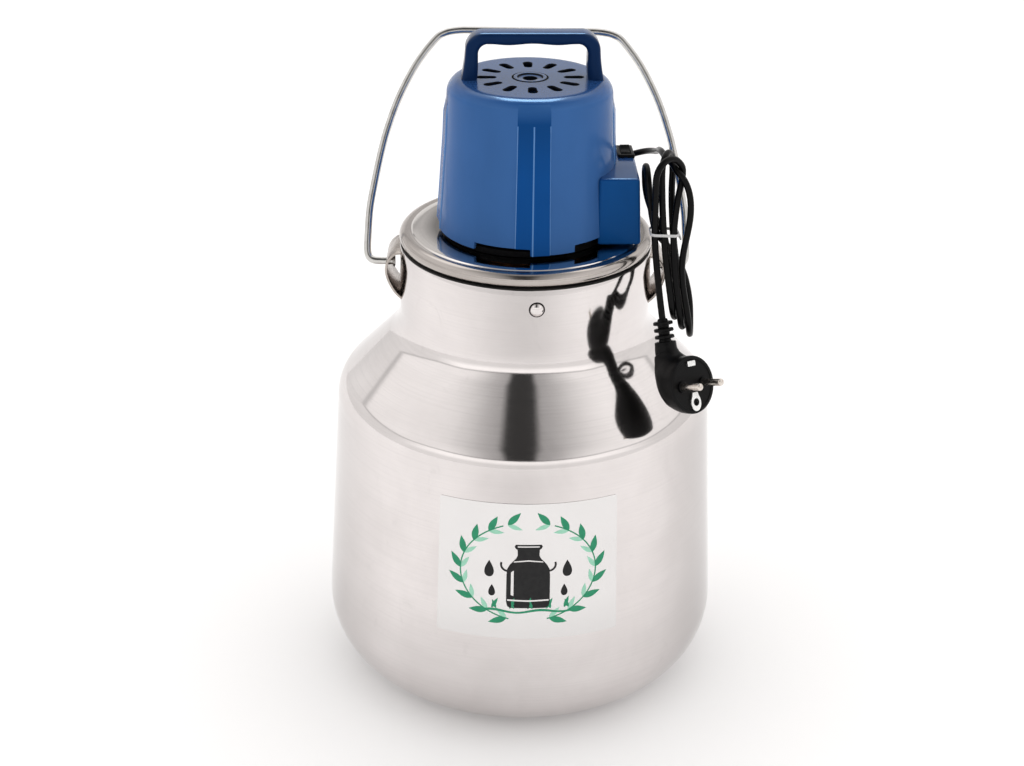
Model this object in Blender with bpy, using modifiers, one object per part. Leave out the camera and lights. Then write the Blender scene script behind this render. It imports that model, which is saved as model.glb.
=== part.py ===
"""Polished steel can with a wire bail, and an electric motor head on its lid that drives an agitator inside the can.

Units are metres, +Z is up. The origin is the centre of the can's base, on the surface that it stands on. The bail's ears
are on the X axis, and -Y is the front of the can.
"""

import math

import bmesh
import bpy
from mathutils import Matrix, Vector

MM = 0.001
GAP = 0.3  # mm, between pieces that touch

# ---- can (mm) ----
CAN_WALL = 1.0
NECK_R = 85.5
RIM_Z = 318.7
CONE_TOP_Z = 262.0
CONE_TOP_R = 86.0
CONE_TOP_FILLET = 27.0
SHOULDER_R = 129.7
SHOULDER_Z = 217.0
SHOULDER_FILLET = 23.0
BODY_R = 142.9  # where the tapered wall would meet the floor
BASE_FILLET = 49.0
BASE_PANEL_R = 74.0
BASE_PANEL_RISE = 2.6
SEAMS = (275.0, 207.0, 52.0)  # heights of the welds between neck, shoulder, drum and base
ROUND = 40

# ---- ears and bail ----
BAIL_WIRE_R = 2.5
BAIL_Z = 303.0
BAIL_TILT = 38.0  # degrees back from upright
BAIL_END_X = 90.5
BAIL_OUT_X = 109.0
BAIL_TOP = 169.0
EAR_HALF_WIDTH = 17.0
EAR_SHEET = 1.6

# ---- lid ----
LID_TOP_Z = 329.6
LID_SHEET = 1.2
BEAD_R = 86.0
BEAD_MINOR = 5.4
BEAD_Z = 325.4
SKIRT_R = 80.0
SKIRT_Z = 306.0
LID_BORE = 20.3

# ---- motor head ----
HEAD_YAW = 3.0  # degrees, how the head is turned on the can
HOUSING_Z = 330.2
HOUSING_WALL = 2.2
HOUSING_TOP_Z = 434.0
HOUSING_DISC_R = 45.0
HOUSING_EDGE = 9.8
HOUSING_SIDE = [(56.2, 396.0), (58.5, 361.0), (60.8, HOUSING_Z)]
RIB_WIDTH = 22.6
RIB_PROUD = 1.3
RIB_TOP_Z = 419.0
SLOTS = 12
SLOT_IN, SLOT_OUT, SLOT_WIDTH = 22.0, 35.0, 5.6
NOTCHES = (-20.0, 46.0, 118.0, 190.0, 262.0)  # degrees from the front
NOTCH_ANGLE, NOTCH_TOP_Z = 37.0, 337.0

HANDLE_OUT_X, HANDLE_IN_X = 43.9, 35.6
HANDLE_TOP_Z, HANDLE_UNDER_Z = 465.0, 457.4
HANDLE_DEPTH = 16.0

BOX_X = (48.7, 73.4)
BOX_Y = (-39.9, 24.7)
BOX_Z = 331.4
BOX_TOP_Z = 377.5
BOX_WALL = 2.0
SWITCH_AT = (66.85, 12.2)
SWITCH_SIZE = (11.1, 20.5)
ROCKER_R = 8.1
ROCKER_AXIS_Z = 375.5
ROCKER_TILT = 10.0

# ---- drive ----
SHAFT_R = 6.0
BOLT_CIRCLE_R = 45.0
BOLT_R = 2.0
IMPELLER_R = 45.0

# ---- mains lead ----
CORD_R = 2.2
GLAND_LENGTH = 22.0
HANK_MIDDLE = (-44.0, 342.6)  # depth and height of the hank's waist
HANK_LEAN = 0.158  # how much further back each mm of height is
PLUG_TOP = (90.0, -67.0, 292.4)  # where the lead goes into the plug
PLUG_DROP = 44.0  # from there down to the height of the face's middle
PLUG_TURN = 42.0  # degrees, how far the plug's face is turned from the front
PLUG_TILT = 21.0  # degrees, how far the face looks up, because the plug hangs along its lead
PLUG_ROLL = 7.0  # degrees, how far the pins are out of level
PLUG_REACH = 21.0  # from the plug's long axis to its face

for old in list(bpy.data.objects):
    bpy.data.objects.remove(old, do_unlink=True)

parts = bpy.data.collections.new("motor_head_can")
cutters = bpy.data.collections.new("cutters")
bpy.context.scene.collection.children.link(parts)
bpy.context.scene.collection.children.link(cutters)


def material(name, colour, roughness, metallic=0.0):
    found = bpy.data.materials.get(name) or bpy.data.materials.new(name)
    found.use_nodes = True
    shader = found.node_tree.nodes["Principled BSDF"]
    shader.inputs["Base Color"].default_value = (*colour, 1.0)
    shader.inputs["Roughness"].default_value = roughness
    shader.inputs["Metallic"].default_value = metallic
    return found


STEEL = ("polished_steel", (0.78, 0.76, 0.74), 0.16, 1.0)
WIRE = ("bright_wire", (0.66, 0.65, 0.63), 0.25, 1.0)
BLUE = ("blue_moulding", (0.012, 0.075, 0.28), 0.28, 0.0)
BLACK = ("black_moulding", (0.012, 0.012, 0.013), 0.42, 0.0)
RUBBER = ("black_rubber", (0.02, 0.02, 0.02), 0.7, 0.0)
CORE = ("lamination_steel", (0.3, 0.3, 0.31), 0.45, 1.0)
COPPER = ("enamelled_copper", (0.52, 0.2, 0.07), 0.4, 0.9)
BRASS = ("nickelled_brass", (0.75, 0.72, 0.66), 0.22, 1.0)
CAST = ("cast_alloy", (0.42, 0.43, 0.45), 0.5, 0.9)
FILM = ("clear_film_print", (0.7, 0.75, 0.72), 0.35, 0.0)
TIE = ("tie_wire", (0.75, 0.74, 0.72), 0.4, 0.3)
CAN_ALLOY = ("capacitor_can", (0.6, 0.6, 0.62), 0.35, 1.0)


def keep(obj, finish, parent=None):
    parts.objects.link(obj)
    obj.data.materials.clear()
    obj.data.materials.append(material(*finish))
    if parent is not None:
        obj.parent = parent
    return obj


def cutter(obj, parent=None):
    cutters.objects.link(obj)
    obj.hide_render = True
    obj.display_type = "WIRE"
    if parent is not None:
        obj.parent = parent
    return obj


def empty(name, location=(0, 0, 0), turn=0.0):
    made = bpy.data.objects.new(name, None)
    made.location = Vector(location) * MM
    made.rotation_euler = (0, 0, math.radians(turn))
    parts.objects.link(made)
    return made


def smooth(mesh, angle=35.0):
    mesh.shade_smooth()
    mesh.set_sharp_from_angle(angle=math.radians(angle))


def lathe(name, profile, closed=True, steps=ROUND):
    """A turned piece: (radius, height) points in mm that run down the outer side, turned about Z by a Screw modifier."""
    mesh = bpy.data.meshes.new(name)
    count = len(profile)
    edges = [(i, i + 1) for i in range(count - 1)]
    if closed:
        edges.append((count - 1, 0))
    mesh.from_pydata([(r * MM, 0.0, z * MM) for r, z in profile], edges, [])
    obj = bpy.data.objects.new(name, mesh)
    screw = obj.modifiers.new("turn", "SCREW")
    screw.axis = "Z"
    screw.angle = math.radians(360)
    screw.steps = steps
    screw.render_steps = steps
    screw.use_merge_vertices = True
    screw.merge_threshold = 0.00001
    screw.use_smooth_shade = True
    return obj


def boolean(obj, other, operation):
    step = obj.modifiers.new(operation.lower(), "BOOLEAN")
    step.operation = operation
    step.object = other
    step.solver = "EXACT"


def corner(before, at, after, radius, steps):
    """Points of an arc of this radius that rounds the corner of a (radius, height) outline."""
    a = (Vector(before) - Vector(at)).normalized()
    b = (Vector(after) - Vector(at)).normalized()
    half = a.angle(b) / 2
    reach = radius / math.tan(half)
    centre = Vector(at) + (a + b).normalized() * (radius / math.sin(half))
    start, end = Vector(at) + a * reach - centre, Vector(at) + b * reach - centre
    turn = start.angle_signed(end)
    found = []
    for i in range(steps + 1):
        angle = -turn * i / steps
        c, s = math.cos(angle), math.sin(angle)
        found.append((centre.x + c * start.x - s * start.y, centre.y + s * start.x + c * start.y))
    return found


def arc(cx, cy, radius, start, end, steps):
    found = []
    for i in range(steps + 1):
        angle = math.radians(start + (end - start) * i / steps)
        found.append((cx + radius * math.cos(angle), cy + radius * math.sin(angle)))
    return found


def as_mesh(obj, name):
    """A mesh object made from a curve, with its loose caps welded. The curve is removed."""
    cutters.objects.link(obj)
    bpy.context.view_layer.update()
    graph = bpy.context.evaluated_depsgraph_get()
    mesh = bpy.data.meshes.new_from_object(obj.evaluated_get(graph))
    mesh.name = name
    work = bmesh.new()
    work.from_mesh(mesh)
    bmesh.ops.remove_doubles(work, verts=work.verts, dist=0.000002)
    bmesh.ops.recalc_face_normals(work, faces=work.faces)
    work.to_mesh(mesh)
    work.free()
    made = bpy.data.objects.new(name, mesh)
    made.matrix_world = obj.matrix_world.copy()
    bpy.data.objects.remove(obj, do_unlink=True)
    return made


def plate(name, outline, thickness, matrix=None):
    """A flat outline in mm, extruded both ways to this thickness, in the plane that the matrix places."""
    data = bpy.data.curves.new(name, "CURVE")
    data.dimensions = "2D"
    data.fill_mode = "BOTH"
    data.extrude = thickness * MM / 2
    line = data.splines.new("POLY")
    line.points.add(len(outline) - 1)
    for point, (x, y) in zip(line.points, outline):
        point.co = (x * MM, y * MM, 0.0, 1.0)
    line.use_cyclic_u = True
    obj = bpy.data.objects.new(name + "_outline", data)
    made = as_mesh(obj, name)
    if matrix is not None:
        made.matrix_world = matrix
    return made


def tube(name, points, radius, cyclic=False, resolution=2):
    """A round wire through these points, in mm."""
    data = bpy.data.curves.new(name, "CURVE")
    data.dimensions = "3D"
    data.bevel_depth = radius * MM
    data.bevel_resolution = resolution
    data.use_fill_caps = not cyclic
    line = data.splines.new("POLY")
    line.points.add(len(points) - 1)
    for point, where in zip(line.points, points):
        point.co = (*(Vector(where) * MM), 1.0)
    line.use_cyclic_u = cyclic
    line.use_smooth = True
    return bpy.data.objects.new(name, data)


def smooth_route(points, spacing):
    """Points at about this spacing, read from a smooth curve through the route's own points."""
    knots = [Vector(p) for p in points]
    knots = [2 * knots[0] - knots[1]] + knots + [2 * knots[-1] - knots[-2]]
    fine = []
    for a, b, c, d in zip(knots, knots[1:], knots[2:], knots[3:]):
        for i in range(24):
            t = i / 24
            fine.append(
                0.5 * (2 * b + (c - a) * t + (2 * a - 5 * b + 4 * c - d) * t**2 + (3 * b - a - 3 * c + d) * t**3)
            )
    fine.append(knots[-2])
    length = sum((q - p).length for p, q in zip(fine, fine[1:]))
    count = max(2, round(length / spacing))
    found, done, i = [fine[0]], 0.0, 0
    for k in range(1, count):
        want = length * k / count
        while done + (fine[i + 1] - fine[i]).length < want:
            done += (fine[i + 1] - fine[i]).length
            i += 1
        found.append(fine[i].lerp(fine[i + 1], (want - done) / (fine[i + 1] - fine[i]).length))
    found.append(fine[-1])
    return found


def block(name, low, high):
    work = bmesh.new()
    bmesh.ops.create_cube(work, size=1.0)
    size = [(h - l) * MM for l, h in zip(low, high)]
    middle = [(h + l) * MM / 2 for l, h in zip(low, high)]
    bmesh.ops.scale(work, vec=size, verts=work.verts)
    bmesh.ops.translate(work, vec=middle, verts=work.verts)
    mesh = bpy.data.meshes.new(name)
    work.to_mesh(mesh)
    work.free()
    return bpy.data.objects.new(name, mesh)


def rod(name, radius, length, steps, matrix, small=None):
    """A round bar centred on the matrix's origin, along its Z axis."""
    work = bmesh.new()
    bmesh.ops.create_cone(
        work,
        cap_ends=True,
        segments=steps,
        radius1=radius * MM,
        radius2=(radius if small is None else small) * MM,
        depth=length * MM,
    )
    mesh = bpy.data.meshes.new(name)
    work.to_mesh(mesh)
    work.free()
    made = bpy.data.objects.new(name, mesh)
    made.matrix_world = matrix
    return made


def soften(obj, width, segments=2, angle=35.0):
    step = obj.modifiers.new("round", "BEVEL")
    step.width = width * MM
    step.segments = segments
    step.limit_method = "ANGLE"
    step.angle_limit = math.radians(angle)
    return obj


def at(x, y, z):
    return Matrix.Translation(Vector((x, y, z)) * MM)


def along(axis, up=(0, 0, 1)):
    """A rotation that takes Z to this axis."""
    z = Vector(axis).normalized()
    x = Vector(up).cross(z)
    if x.length < 1e-6:
        x = Vector((1, 0, 0))
    x.normalize()
    y = z.cross(x)
    return Matrix((x, y, z)).transposed().to_4x4()


# ---------------------------------------------------------------- can
def can_side(offset):
    """The can's outline from the rim to the base panel, moved inwards by the wall's thickness."""
    slope = (BODY_R - SHOULDER_R) / SHOULDER_Z
    top = (NECK_R - offset, RIM_Z)
    neck = (CONE_TOP_R - offset, CONE_TOP_Z - offset * 0.45)
    shoulder = (SHOULDER_R - offset, SHOULDER_Z - offset * 0.45)
    foot = (BODY_R - offset * 1.002 - slope * offset, offset)
    panel = (BASE_PANEL_R + 5.0, offset)
    side = [top]
    side += corner(top, neck, shoulder, CONE_TOP_FILLET + offset, 4)
    side += corner(neck, shoulder, foot, SHOULDER_FILLET - offset, 4)
    side += corner(shoulder, foot, panel, BASE_FILLET - offset, 6)
    side += [panel, (BASE_PANEL_R, BASE_PANEL_RISE + offset), (0.0, BASE_PANEL_RISE + offset)]
    return side


def stretch(line, top, bottom):
    """The part of a falling (radius, height) outline between two heights. None keeps it to its start or end."""

    def crossing(level):
        for i, ((r0, z0), (r1, z1)) in enumerate(zip(line, line[1:])):
            if z0 >= level > z1:
                return i, (r0 + (r1 - r0) * (z0 - level) / (z0 - z1), level)

    first, head, last, tail = -1, [], len(line) - 1, []
    if top is not None:
        first, point = crossing(top)
        head = [point]
    if bottom is not None:
        last, point = crossing(bottom)
        tail = [point]
    return head + line[first + 1 : last + 1] + tail


# The can is welded from four turned pressings: neck, cone shoulder, drum and base.
skin, lining = can_side(0.0), can_side(CAN_WALL)
for name, top, bottom in (("can_neck", None, SEAMS[0]), ("can_shoulder", SEAMS[0], SEAMS[1]), ("can_drum", SEAMS[1], SEAMS[2]), ("can_base", SEAMS[2], None)):
    top = None if top is None else top - GAP / 2
    bottom = None if bottom is None else bottom + GAP / 2
    ring = list(reversed(stretch(lining, top, bottom))) + stretch(skin, top, bottom)
    keep(lathe(name, ring, closed=bottom is not None), STEEL)

neck_cutter = cutter(rod("neck_space", CONE_TOP_R + GAP, 200, ROUND * 2, at(0, 0, 300)))

ear_path = [(84.0, 316.0), (88.8, 315.0), (93.4, 310.0), (95.2, 303.0), (93.6, 295.0), (89.2, 286.5), (84.0, 281.0)]
for side, name in ((-1, "ear_left"), (1, "ear_right")):
    outer = [(side * x, z) for x, z in ear_path]
    inner = [(side * (x - EAR_SHEET * (0.4 if i in (0, len(ear_path) - 1) else 1.0)), z - EAR_SHEET * (0.9 if i < 2 else -0.9 if i > 4 else 0)) for i, (x, z) in enumerate(ear_path)]
    stand = Matrix(((1, 0, 0, 0), (0, 0, -1, 0), (0, 1, 0, 0), (0, 0, 0, 1)))
    ear = plate(name, outer + list(reversed(inner)), 2 * EAR_HALF_WIDTH, stand)
    boolean(ear, neck_cutter, "DIFFERENCE")
    eye = cutter(rod(name + "_eye", BAIL_WIRE_R + 0.7, 12, 20, at(side * 95, 0, BAIL_Z) @ along((1, 0, 0))))
    boolean(ear, eye, "DIFFERENCE")
    keep(ear, STEEL)

rivet_turn = math.radians(5.0)
rivet = lathe("neck_rivet", [(0.0, 2.3)] + [(4.6 * math.sin(math.radians(a)), 2.3 * math.cos(math.radians(a))) for a in (25, 50, 75)] + [(4.6, 0.0), (0.0, 0.0)], closed=False, steps=20)
rivet_way = Vector((math.sin(rivet_turn), -math.cos(rivet_turn), 0))
rivet.matrix_world = Matrix.Translation(rivet_way * (NECK_R + GAP + 0.1) * MM + Vector((0, 0, 305.5 * MM))) @ along(rivet_way)
keep(rivet, STEEL)


def label_point(across, up):
    """A point on the body's tapered wall: degrees round from the front, and height in mm."""
    slope = (BODY_R - SHOULDER_R) / SHOULDER_Z
    radius = BODY_R - slope * up + 0.4
    turn = math.radians(across)
    return Vector((radius * math.sin(turn), -radius * math.cos(turn), up)) * MM


work = bmesh.new()
bmesh.ops.create_grid(work, x_segments=14, y_segments=2, size=0.5)
for vert in work.verts:
    vert.co = label_point(2.0 + 52.0 * vert.co.x, 138.0 + 100.0 * vert.co.y)
label_mesh = bpy.data.meshes.new("label_film")
work.to_mesh(label_mesh)
work.free()
label = bpy.data.objects.new("label_film", label_mesh)
thick = label.modifiers.new("film", "SOLIDIFY")
thick.thickness = 0.3 * MM
thick.offset = 1.0
keep(label, FILM)

# ---------------------------------------------------------------- bail
def bail_half():
    """Half of the bail in its own plane: distance from the middle, and height above the pivot."""
    arm = [(108.4, 37.0), (106.0, 54.0), (101.8, 78.0), (97.6, 96.0), (90.2, 119.0), (79.0, 143.0), (66.5, 161.2)]
    return [(BAIL_END_X, 0.0), (100.0, 0.0), (104.5, 1.2), (107.8, 5.0), (BAIL_OUT_X, 11.0), (BAIL_OUT_X, 20.0)] + arm + [(59.5, 166.6), (50.0, 168.7), (40.0, BAIL_TOP)]


bail_axis = empty("bail_axis", (0, 0, BAIL_Z))
bail_axis.rotation_euler = (math.radians(-BAIL_TILT), 0, 0)
half = [Vector((-x, 0, z)) for x, z in bail_half()]
other = [Vector((x, 0, z)) for x, z in reversed(bail_half())]
ends = half[:2]
keep(tube("bail_handle", [half[0]] + smooth_route(half[1:] + other[:-1], 9.0) + [other[-1]], BAIL_WIRE_R), WIRE, bail_axis)

# ---------------------------------------------------------------- lid
bead = arc(BEAD_R - BEAD_MINOR, BEAD_Z, BEAD_MINOR, 88, -80, 8)
lid = lathe(
    "lid",
    [(LID_BORE, LID_TOP_Z), (78.6, LID_TOP_Z)]
    + bead
    + [(SKIRT_R, BEAD_Z - BEAD_MINOR), (SKIRT_R, SKIRT_Z), (SKIRT_R - LID_SHEET, SKIRT_Z), (SKIRT_R - LID_SHEET, LID_TOP_Z - LID_SHEET), (LID_BORE, LID_TOP_Z - LID_SHEET)],
)
keep(lid, STEEL)
keep(
    lathe(
        "lid_gasket",
        [(SKIRT_R + GAP, 319.6), (85.6, 319.6), (85.6, 319.0), (NECK_R - CAN_WALL - GAP, 319.0), (NECK_R - CAN_WALL - GAP, 312.0), (SKIRT_R + GAP, 312.0)],
    ),
    RUBBER,
)
keep(
    lathe("seal_carrier", [(13.8, 329.4), (20.0, 329.4), (20.0, 328.1), (24.0, 328.1), (24.0, 325.0), (20.0, 325.0), (20.0, 320.0), (13.8, 320.0)], steps=24),
    CAST,
)
keep(lathe("shaft_seal", [(SHAFT_R + GAP, 329.2), (13.5, 329.2), (13.5, 321.0), (9.0, 321.0), (SHAFT_R + GAP, 323.5)], steps=24), RUBBER)

# ---------------------------------------------------------------- motor head
head = empty("head_frame", (0, 0, 0), HEAD_YAW)


def housing_outer(extra):
    """The cover's outer side from its top edge down, moved outwards."""
    edge = arc(HOUSING_DISC_R, HOUSING_TOP_Z - HOUSING_EDGE, HOUSING_EDGE + extra, 90, 5, 5)
    return edge + [(r + extra, z) for r, z in HOUSING_SIDE]


wall = HOUSING_WALL
inner_edge = arc(HOUSING_DISC_R, HOUSING_TOP_Z - HOUSING_EDGE, HOUSING_EDGE - wall, 5, 90, 4)
housing = lathe(
    "motor_housing",
    [(11.9, HOUSING_TOP_Z)]
    + housing_outer(0.0)
    + [(r - wall, z) for r, z in reversed(HOUSING_SIDE)]
    + inner_edge
    + [(16.3, HOUSING_TOP_Z - wall), (16.3, 417.0), (13.3, 417.0), (13.3, 430.0), (11.9, 430.0)],
)
keep(housing, BLUE, head)

rib_ring = cutter(
    lathe(
        "rib_ring",
        [(54.4, RIB_TOP_Z + 3.0), (56.0 + RIB_PROUD - 0.9, RIB_TOP_Z)]
        + [(r + RIB_PROUD, z) for r, z in HOUSING_SIDE]
        + [(r - 0.8, z) for r, z in reversed(HOUSING_SIDE)],
    ),
    head,
)
rib_cross = cutter(block("rib_cross", (-RIB_WIDTH / 2, -80, 320), (RIB_WIDTH / 2, 80, 440)), head)
rib_bar = cutter(block("rib_bar", (-80, -RIB_WIDTH / 2, 320), (80, RIB_WIDTH / 2, 440)), head)
boolean(rib_cross, rib_bar, "UNION")
boolean(rib_ring, rib_cross, "INTERSECT")
boolean(housing, rib_ring, "UNION")


def merged(name, objects):
    """One cutter mesh from several loose ones."""
    work = bmesh.new()
    for obj in objects:
        obj.data.transform(obj.matrix_world)
        work.from_mesh(obj.data)
    mesh = bpy.data.meshes.new(name)
    work.to_mesh(mesh)
    work.free()
    for obj in objects:
        bpy.data.objects.remove(obj, do_unlink=True)
    return bpy.data.objects.new(name, mesh)


slots = []
for i in range(SLOTS):
    turn = Matrix.Rotation(math.radians(360 * i / SLOTS), 4, "Z")
    reach = SLOT_WIDTH / 2
    outline = arc(SLOT_OUT - reach, 0, reach, -90, 90, 5) + arc(SLOT_IN + reach, 0, reach, 90, 270, 5)
    slots.append(plate("slot", outline, 8.0, turn @ at(0, 0, 433.0)))
boolean(housing, cutter(merged("top_slots", slots), head), "DIFFERENCE")

notches = []
for turn in NOTCHES:
    middle = turn - 90
    outline = arc(0, 0, 70, middle - NOTCH_ANGLE / 2, middle + NOTCH_ANGLE / 2, 4) + arc(0, 0, 50, middle + NOTCH_ANGLE / 2, middle - NOTCH_ANGLE / 2, 4)
    notches.append(plate("notch", outline, NOTCH_TOP_Z - 325.0, at(0, 0, (NOTCH_TOP_Z + 325.0) / 2)))
boolean(housing, cutter(merged("air_notches", notches), head), "DIFFERENCE")

keep(lathe("bearing_cap", [(4.6, 433.5), (11.2, 433.5), (11.5, 433.0), (11.5, 430.3), (4.6, 430.3)], steps=32), BLUE, head)

# The clear space that the handle and the side box keep to the cover.
envelope = [(0.0, HOUSING_TOP_Z + GAP), (HOUSING_DISC_R, HOUSING_TOP_Z + GAP)] + housing_outer(GAP)[1:] + [(0.0, HOUSING_Z - 5)]
envelope[-2] = (HOUSING_SIDE[-1][0] + GAP + 0.3, HOUSING_Z - 5)
cover_space = cutter(lathe("cover_space", envelope, closed=False), head)
rib_space = cutter(
    lathe("rib_space", [(50.0, RIB_TOP_Z + 5.0), (56.0 + RIB_PROUD + 0.3, RIB_TOP_Z + 1.0)] + [(r + RIB_PROUD + GAP, z) for r, z in HOUSING_SIDE[:-1]] + [(HOUSING_SIDE[-1][0] + RIB_PROUD + GAP + 0.3, HOUSING_Z - 5), (50.0, HOUSING_Z - 5)]),
    head,
)
rib_space_bar = cutter(block("rib_space_bar", (-90, -RIB_WIDTH / 2 - GAP, 320), (90, RIB_WIDTH / 2 + GAP, 440)), head)
boolean(rib_space, rib_space_bar, "INTERSECT")


def handle_outline():
    """The carry handle seen from the front: flared feet, rounded top corners and a waved underside."""
    out, inn, top, under = HANDLE_OUT_X, HANDLE_IN_X, HANDLE_TOP_Z, HANDLE_UNDER_Z
    right = [(out + 3.4, 430.0), (out + 2.6, 435.0), (out + 1.2, 441.0), (out + 0.3, 449.0)]
    right += arc(out - 12.0, top - 12.0, 12.0, 0, 90, 6)
    left = [(-x, z) for x, z in reversed(right)]
    inside = [(-inn - 0.6, 430.0), (-inn, 440.0)] + arc(-inn + 6.5, under - 6.5, 6.5, 180, 95, 4)
    waves = []
    for i in range(19):
        x = -24.0 + 48.0 * i / 18
        waves.append((x, under - 0.4 + 0.8 * math.cos(2 * math.pi * x / 32.0)))
    inside += waves
    inside += [(-x, z) for x, z in reversed(inside[:7])]
    return right + left + inside


stand = Matrix(((1, 0, 0, 0), (0, 0, -1, 0), (0, 1, 0, 0), (0, 0, 0, 1)))
handle = plate("carry_handle", handle_outline(), HANDLE_DEPTH, stand)
soften(handle, 3.0, 2, 50.0)
boolean(handle, cover_space, "DIFFERENCE")
keep(handle, BLUE, head)

box = block("switch_box", (BOX_X[0] - 12, BOX_Y[0], BOX_Z), (BOX_X[1], BOX_Y[1], BOX_TOP_Z))
soften(box, 2.5, 2)
inside = cutter(block("box_inside", (BOX_X[0] - 20, BOX_Y[0] + BOX_WALL, 320), (BOX_X[1] - BOX_WALL, BOX_Y[1] - BOX_WALL, BOX_TOP_Z - BOX_WALL)), head)
hole = cutter(block("switch_hole", (SWITCH_AT[0] - 4.6, SWITCH_AT[1] - 9.4, 370), (SWITCH_AT[0] + 4.6, SWITCH_AT[1] + 9.4, 385)), head)
gland_at = (62.6, 350.5)
gland_hole = cutter(rod("gland_hole", 4.3, 20, 24, at(gland_at[0], BOX_Y[1], gland_at[1]) @ along((0, 1, 0))), head)
for space in (inside, cover_space, rib_space, hole, gland_hole):
    boolean(box, space, "DIFFERENCE")
keep(box, BLUE, head)

sx, sy = SWITCH_AT
bezel = block("switch_bezel", (sx - SWITCH_SIZE[0] / 2, sy - SWITCH_SIZE[1] / 2, BOX_TOP_Z + GAP), (sx + SWITCH_SIZE[0] / 2, sy + SWITCH_SIZE[1] / 2, BOX_TOP_Z + 2.2))
bezel_body = cutter(block("bezel_body", (sx - 4.2, sy - 9.0, 363.0), (sx + 4.2, sy + 9.0, BOX_TOP_Z + 1.0)), head)
pocket = cutter(block("bezel_pocket", (sx - 3.6, sy - 8.5, 366.5), (sx + 3.6, sy + 8.5, 390.0)), head)
boolean(bezel, bezel_body, "UNION")
boolean(bezel, pocket, "DIFFERENCE")
keep(bezel, BLACK, head)

rocker_axis = empty("rocker_axis", (sx, sy, ROCKER_AXIS_Z))
rocker_axis.parent = head
rocker_axis.rotation_euler = (math.radians(ROCKER_TILT), 0, 0)
rocker_shape = arc(0, 0, ROCKER_R, -38, 38, 5)[0:6]
rocker_outline = rocker_shape + [(3.0, 4.1), (0.0, 3.4), (-3.0, 4.1)] + [(-y, z) for y, z in reversed(rocker_shape)]
flip = Matrix(((0, 0, 1, 0), (1, 0, 0, 0), (0, 1, 0, 0), (0, 0, 0, 1)))
rocker = plate("switch_rocker", rocker_outline, 6.5, flip)
keep(rocker, BLACK, rocker_axis)

gland = lathe("cord_gland", [(0.0, GLAND_LENGTH), (2.9, GLAND_LENGTH), (3.3, 15.0), (4.0, 7.0), (4.6, 3.2), (5.4, 2.8), (5.4, GAP), (4.0, GAP), (4.0, -9.0), (0.0, -9.0)], closed=False, steps=16)
gland.matrix_world = at(gland_at[0], BOX_Y[1], gland_at[1]) @ along((0, 1, 0))
keep(gland, RUBBER, head)

capacitor = rod("run_capacitor", 3.9, 42.0, 16, at(67.1, -14.0, 345.0) @ along((0, 1, 0)))
soften(capacitor, 1.0, 1)
keep(capacitor, CAN_ALLOY, head)

# ---------------------------------------------------------------- motor
base = lathe("motor_base", [(14.3, 342.0), (18.0, 342.0), (18.0, 334.0), (56.8, 334.0), (56.8, 330.0), (9.0, 330.0), (9.0, 334.0), (14.3, 334.0)], steps=32)
keep(base, CAST, head)
bolt_holes = []
for i in range(4):
    turn = math.radians(45 + 90 * i)
    x, y = BOLT_CIRCLE_R * math.cos(turn), BOLT_CIRCLE_R * math.sin(turn)
    bolt_holes.append(rod("bolt_hole", BOLT_R + GAP, 40, 12, at(x, y, 330)))
    bolt = lathe("motor_bolt_%d" % (i + 1), [(0.0, 336.0), (BOLT_R - 0.4, 336.0), (BOLT_R, 335.4), (BOLT_R, 328.1), (4.0, 328.1), (4.0, 325.6), (3.2, 324.8), (0.0, 324.8)], closed=False, steps=10)
    bolt.location = (x * MM, y * MM, 0)
    keep(bolt, WIRE, head)
bolt_space = cutter(merged("bolt_holes", bolt_holes), head)
boolean(base, bolt_space, "DIFFERENCE")
boolean(lid, bolt_space, "DIFFERENCE")

keep(lathe("stator_core", [(30.0, 386.0), (52.0, 386.0), (52.0, 350.0), (30.0, 350.0)], steps=28), CORE, head)
keep(lathe("winding_upper", [(33.0, 398.0), (36.0, 400.0), (45.0, 400.0), (49.0, 396.0), (49.0, 386.3), (31.5, 386.3), (31.5, 395.0)], steps=24), COPPER, head)
keep(lathe("winding_lower", [(31.5, 349.7), (49.0, 349.7), (49.0, 341.0), (45.0, 337.5), (36.0, 337.5), (33.0, 339.0), (31.5, 342.0)], steps=24), COPPER, head)
keep(lathe("upper_bearing", [(SHAFT_R + GAP, 425.0), (13.0, 425.0), (13.0, 418.0), (SHAFT_R + GAP, 418.0)], steps=28), WIRE, head)
keep(lathe("lower_bearing", [(SHAFT_R + GAP, 341.3), (14.0, 341.3), (14.0, 334.3), (SHAFT_R + GAP, 334.3)], steps=28), WIRE, head)

# ---------------------------------------------------------------- drive, turning on the can's axis
drive = empty("drive_axis")
keep(lathe("motor_shaft", [(0.0, 427.5), (SHAFT_R - 0.6, 427.5), (SHAFT_R, 426.9), (SHAFT_R, 300.0), (0.0, 300.0)], closed=False, steps=20), WIRE, drive)
keep(lathe("rotor_core", [(SHAFT_R + GAP, 387.0), (29.3, 387.0), (29.3, 349.0), (SHAFT_R + GAP, 349.0)], steps=28), CORE, drive)
fan = lathe("cooling_fan", [(SHAFT_R + GAP, 415.0), (10.5, 415.0), (10.5, 406.5), (41.0, 406.5), (41.0, 405.0), (SHAFT_R + GAP, 405.0)], steps=24)
blades = []
for i in range(8):
    blade = block("fan_blade", (10.0, -0.7, 405.5), (40.0, 0.7, 413.5))
    blade.matrix_world = Matrix.Rotation(math.radians(45 * i), 4, "Z")
    blades.append(blade)
boolean(fan, cutter(merged("fan_blades", blades), drive), "UNION")
keep(fan, BLACK, drive)
keep(lathe("drive_coupling", [(SHAFT_R + GAP, 316.0), (10.4, 316.0), (11.0, 315.4), (11.0, 286.6), (10.4, 286.0), (SHAFT_R + GAP, 286.0)], steps=24), CAST, drive)
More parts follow.
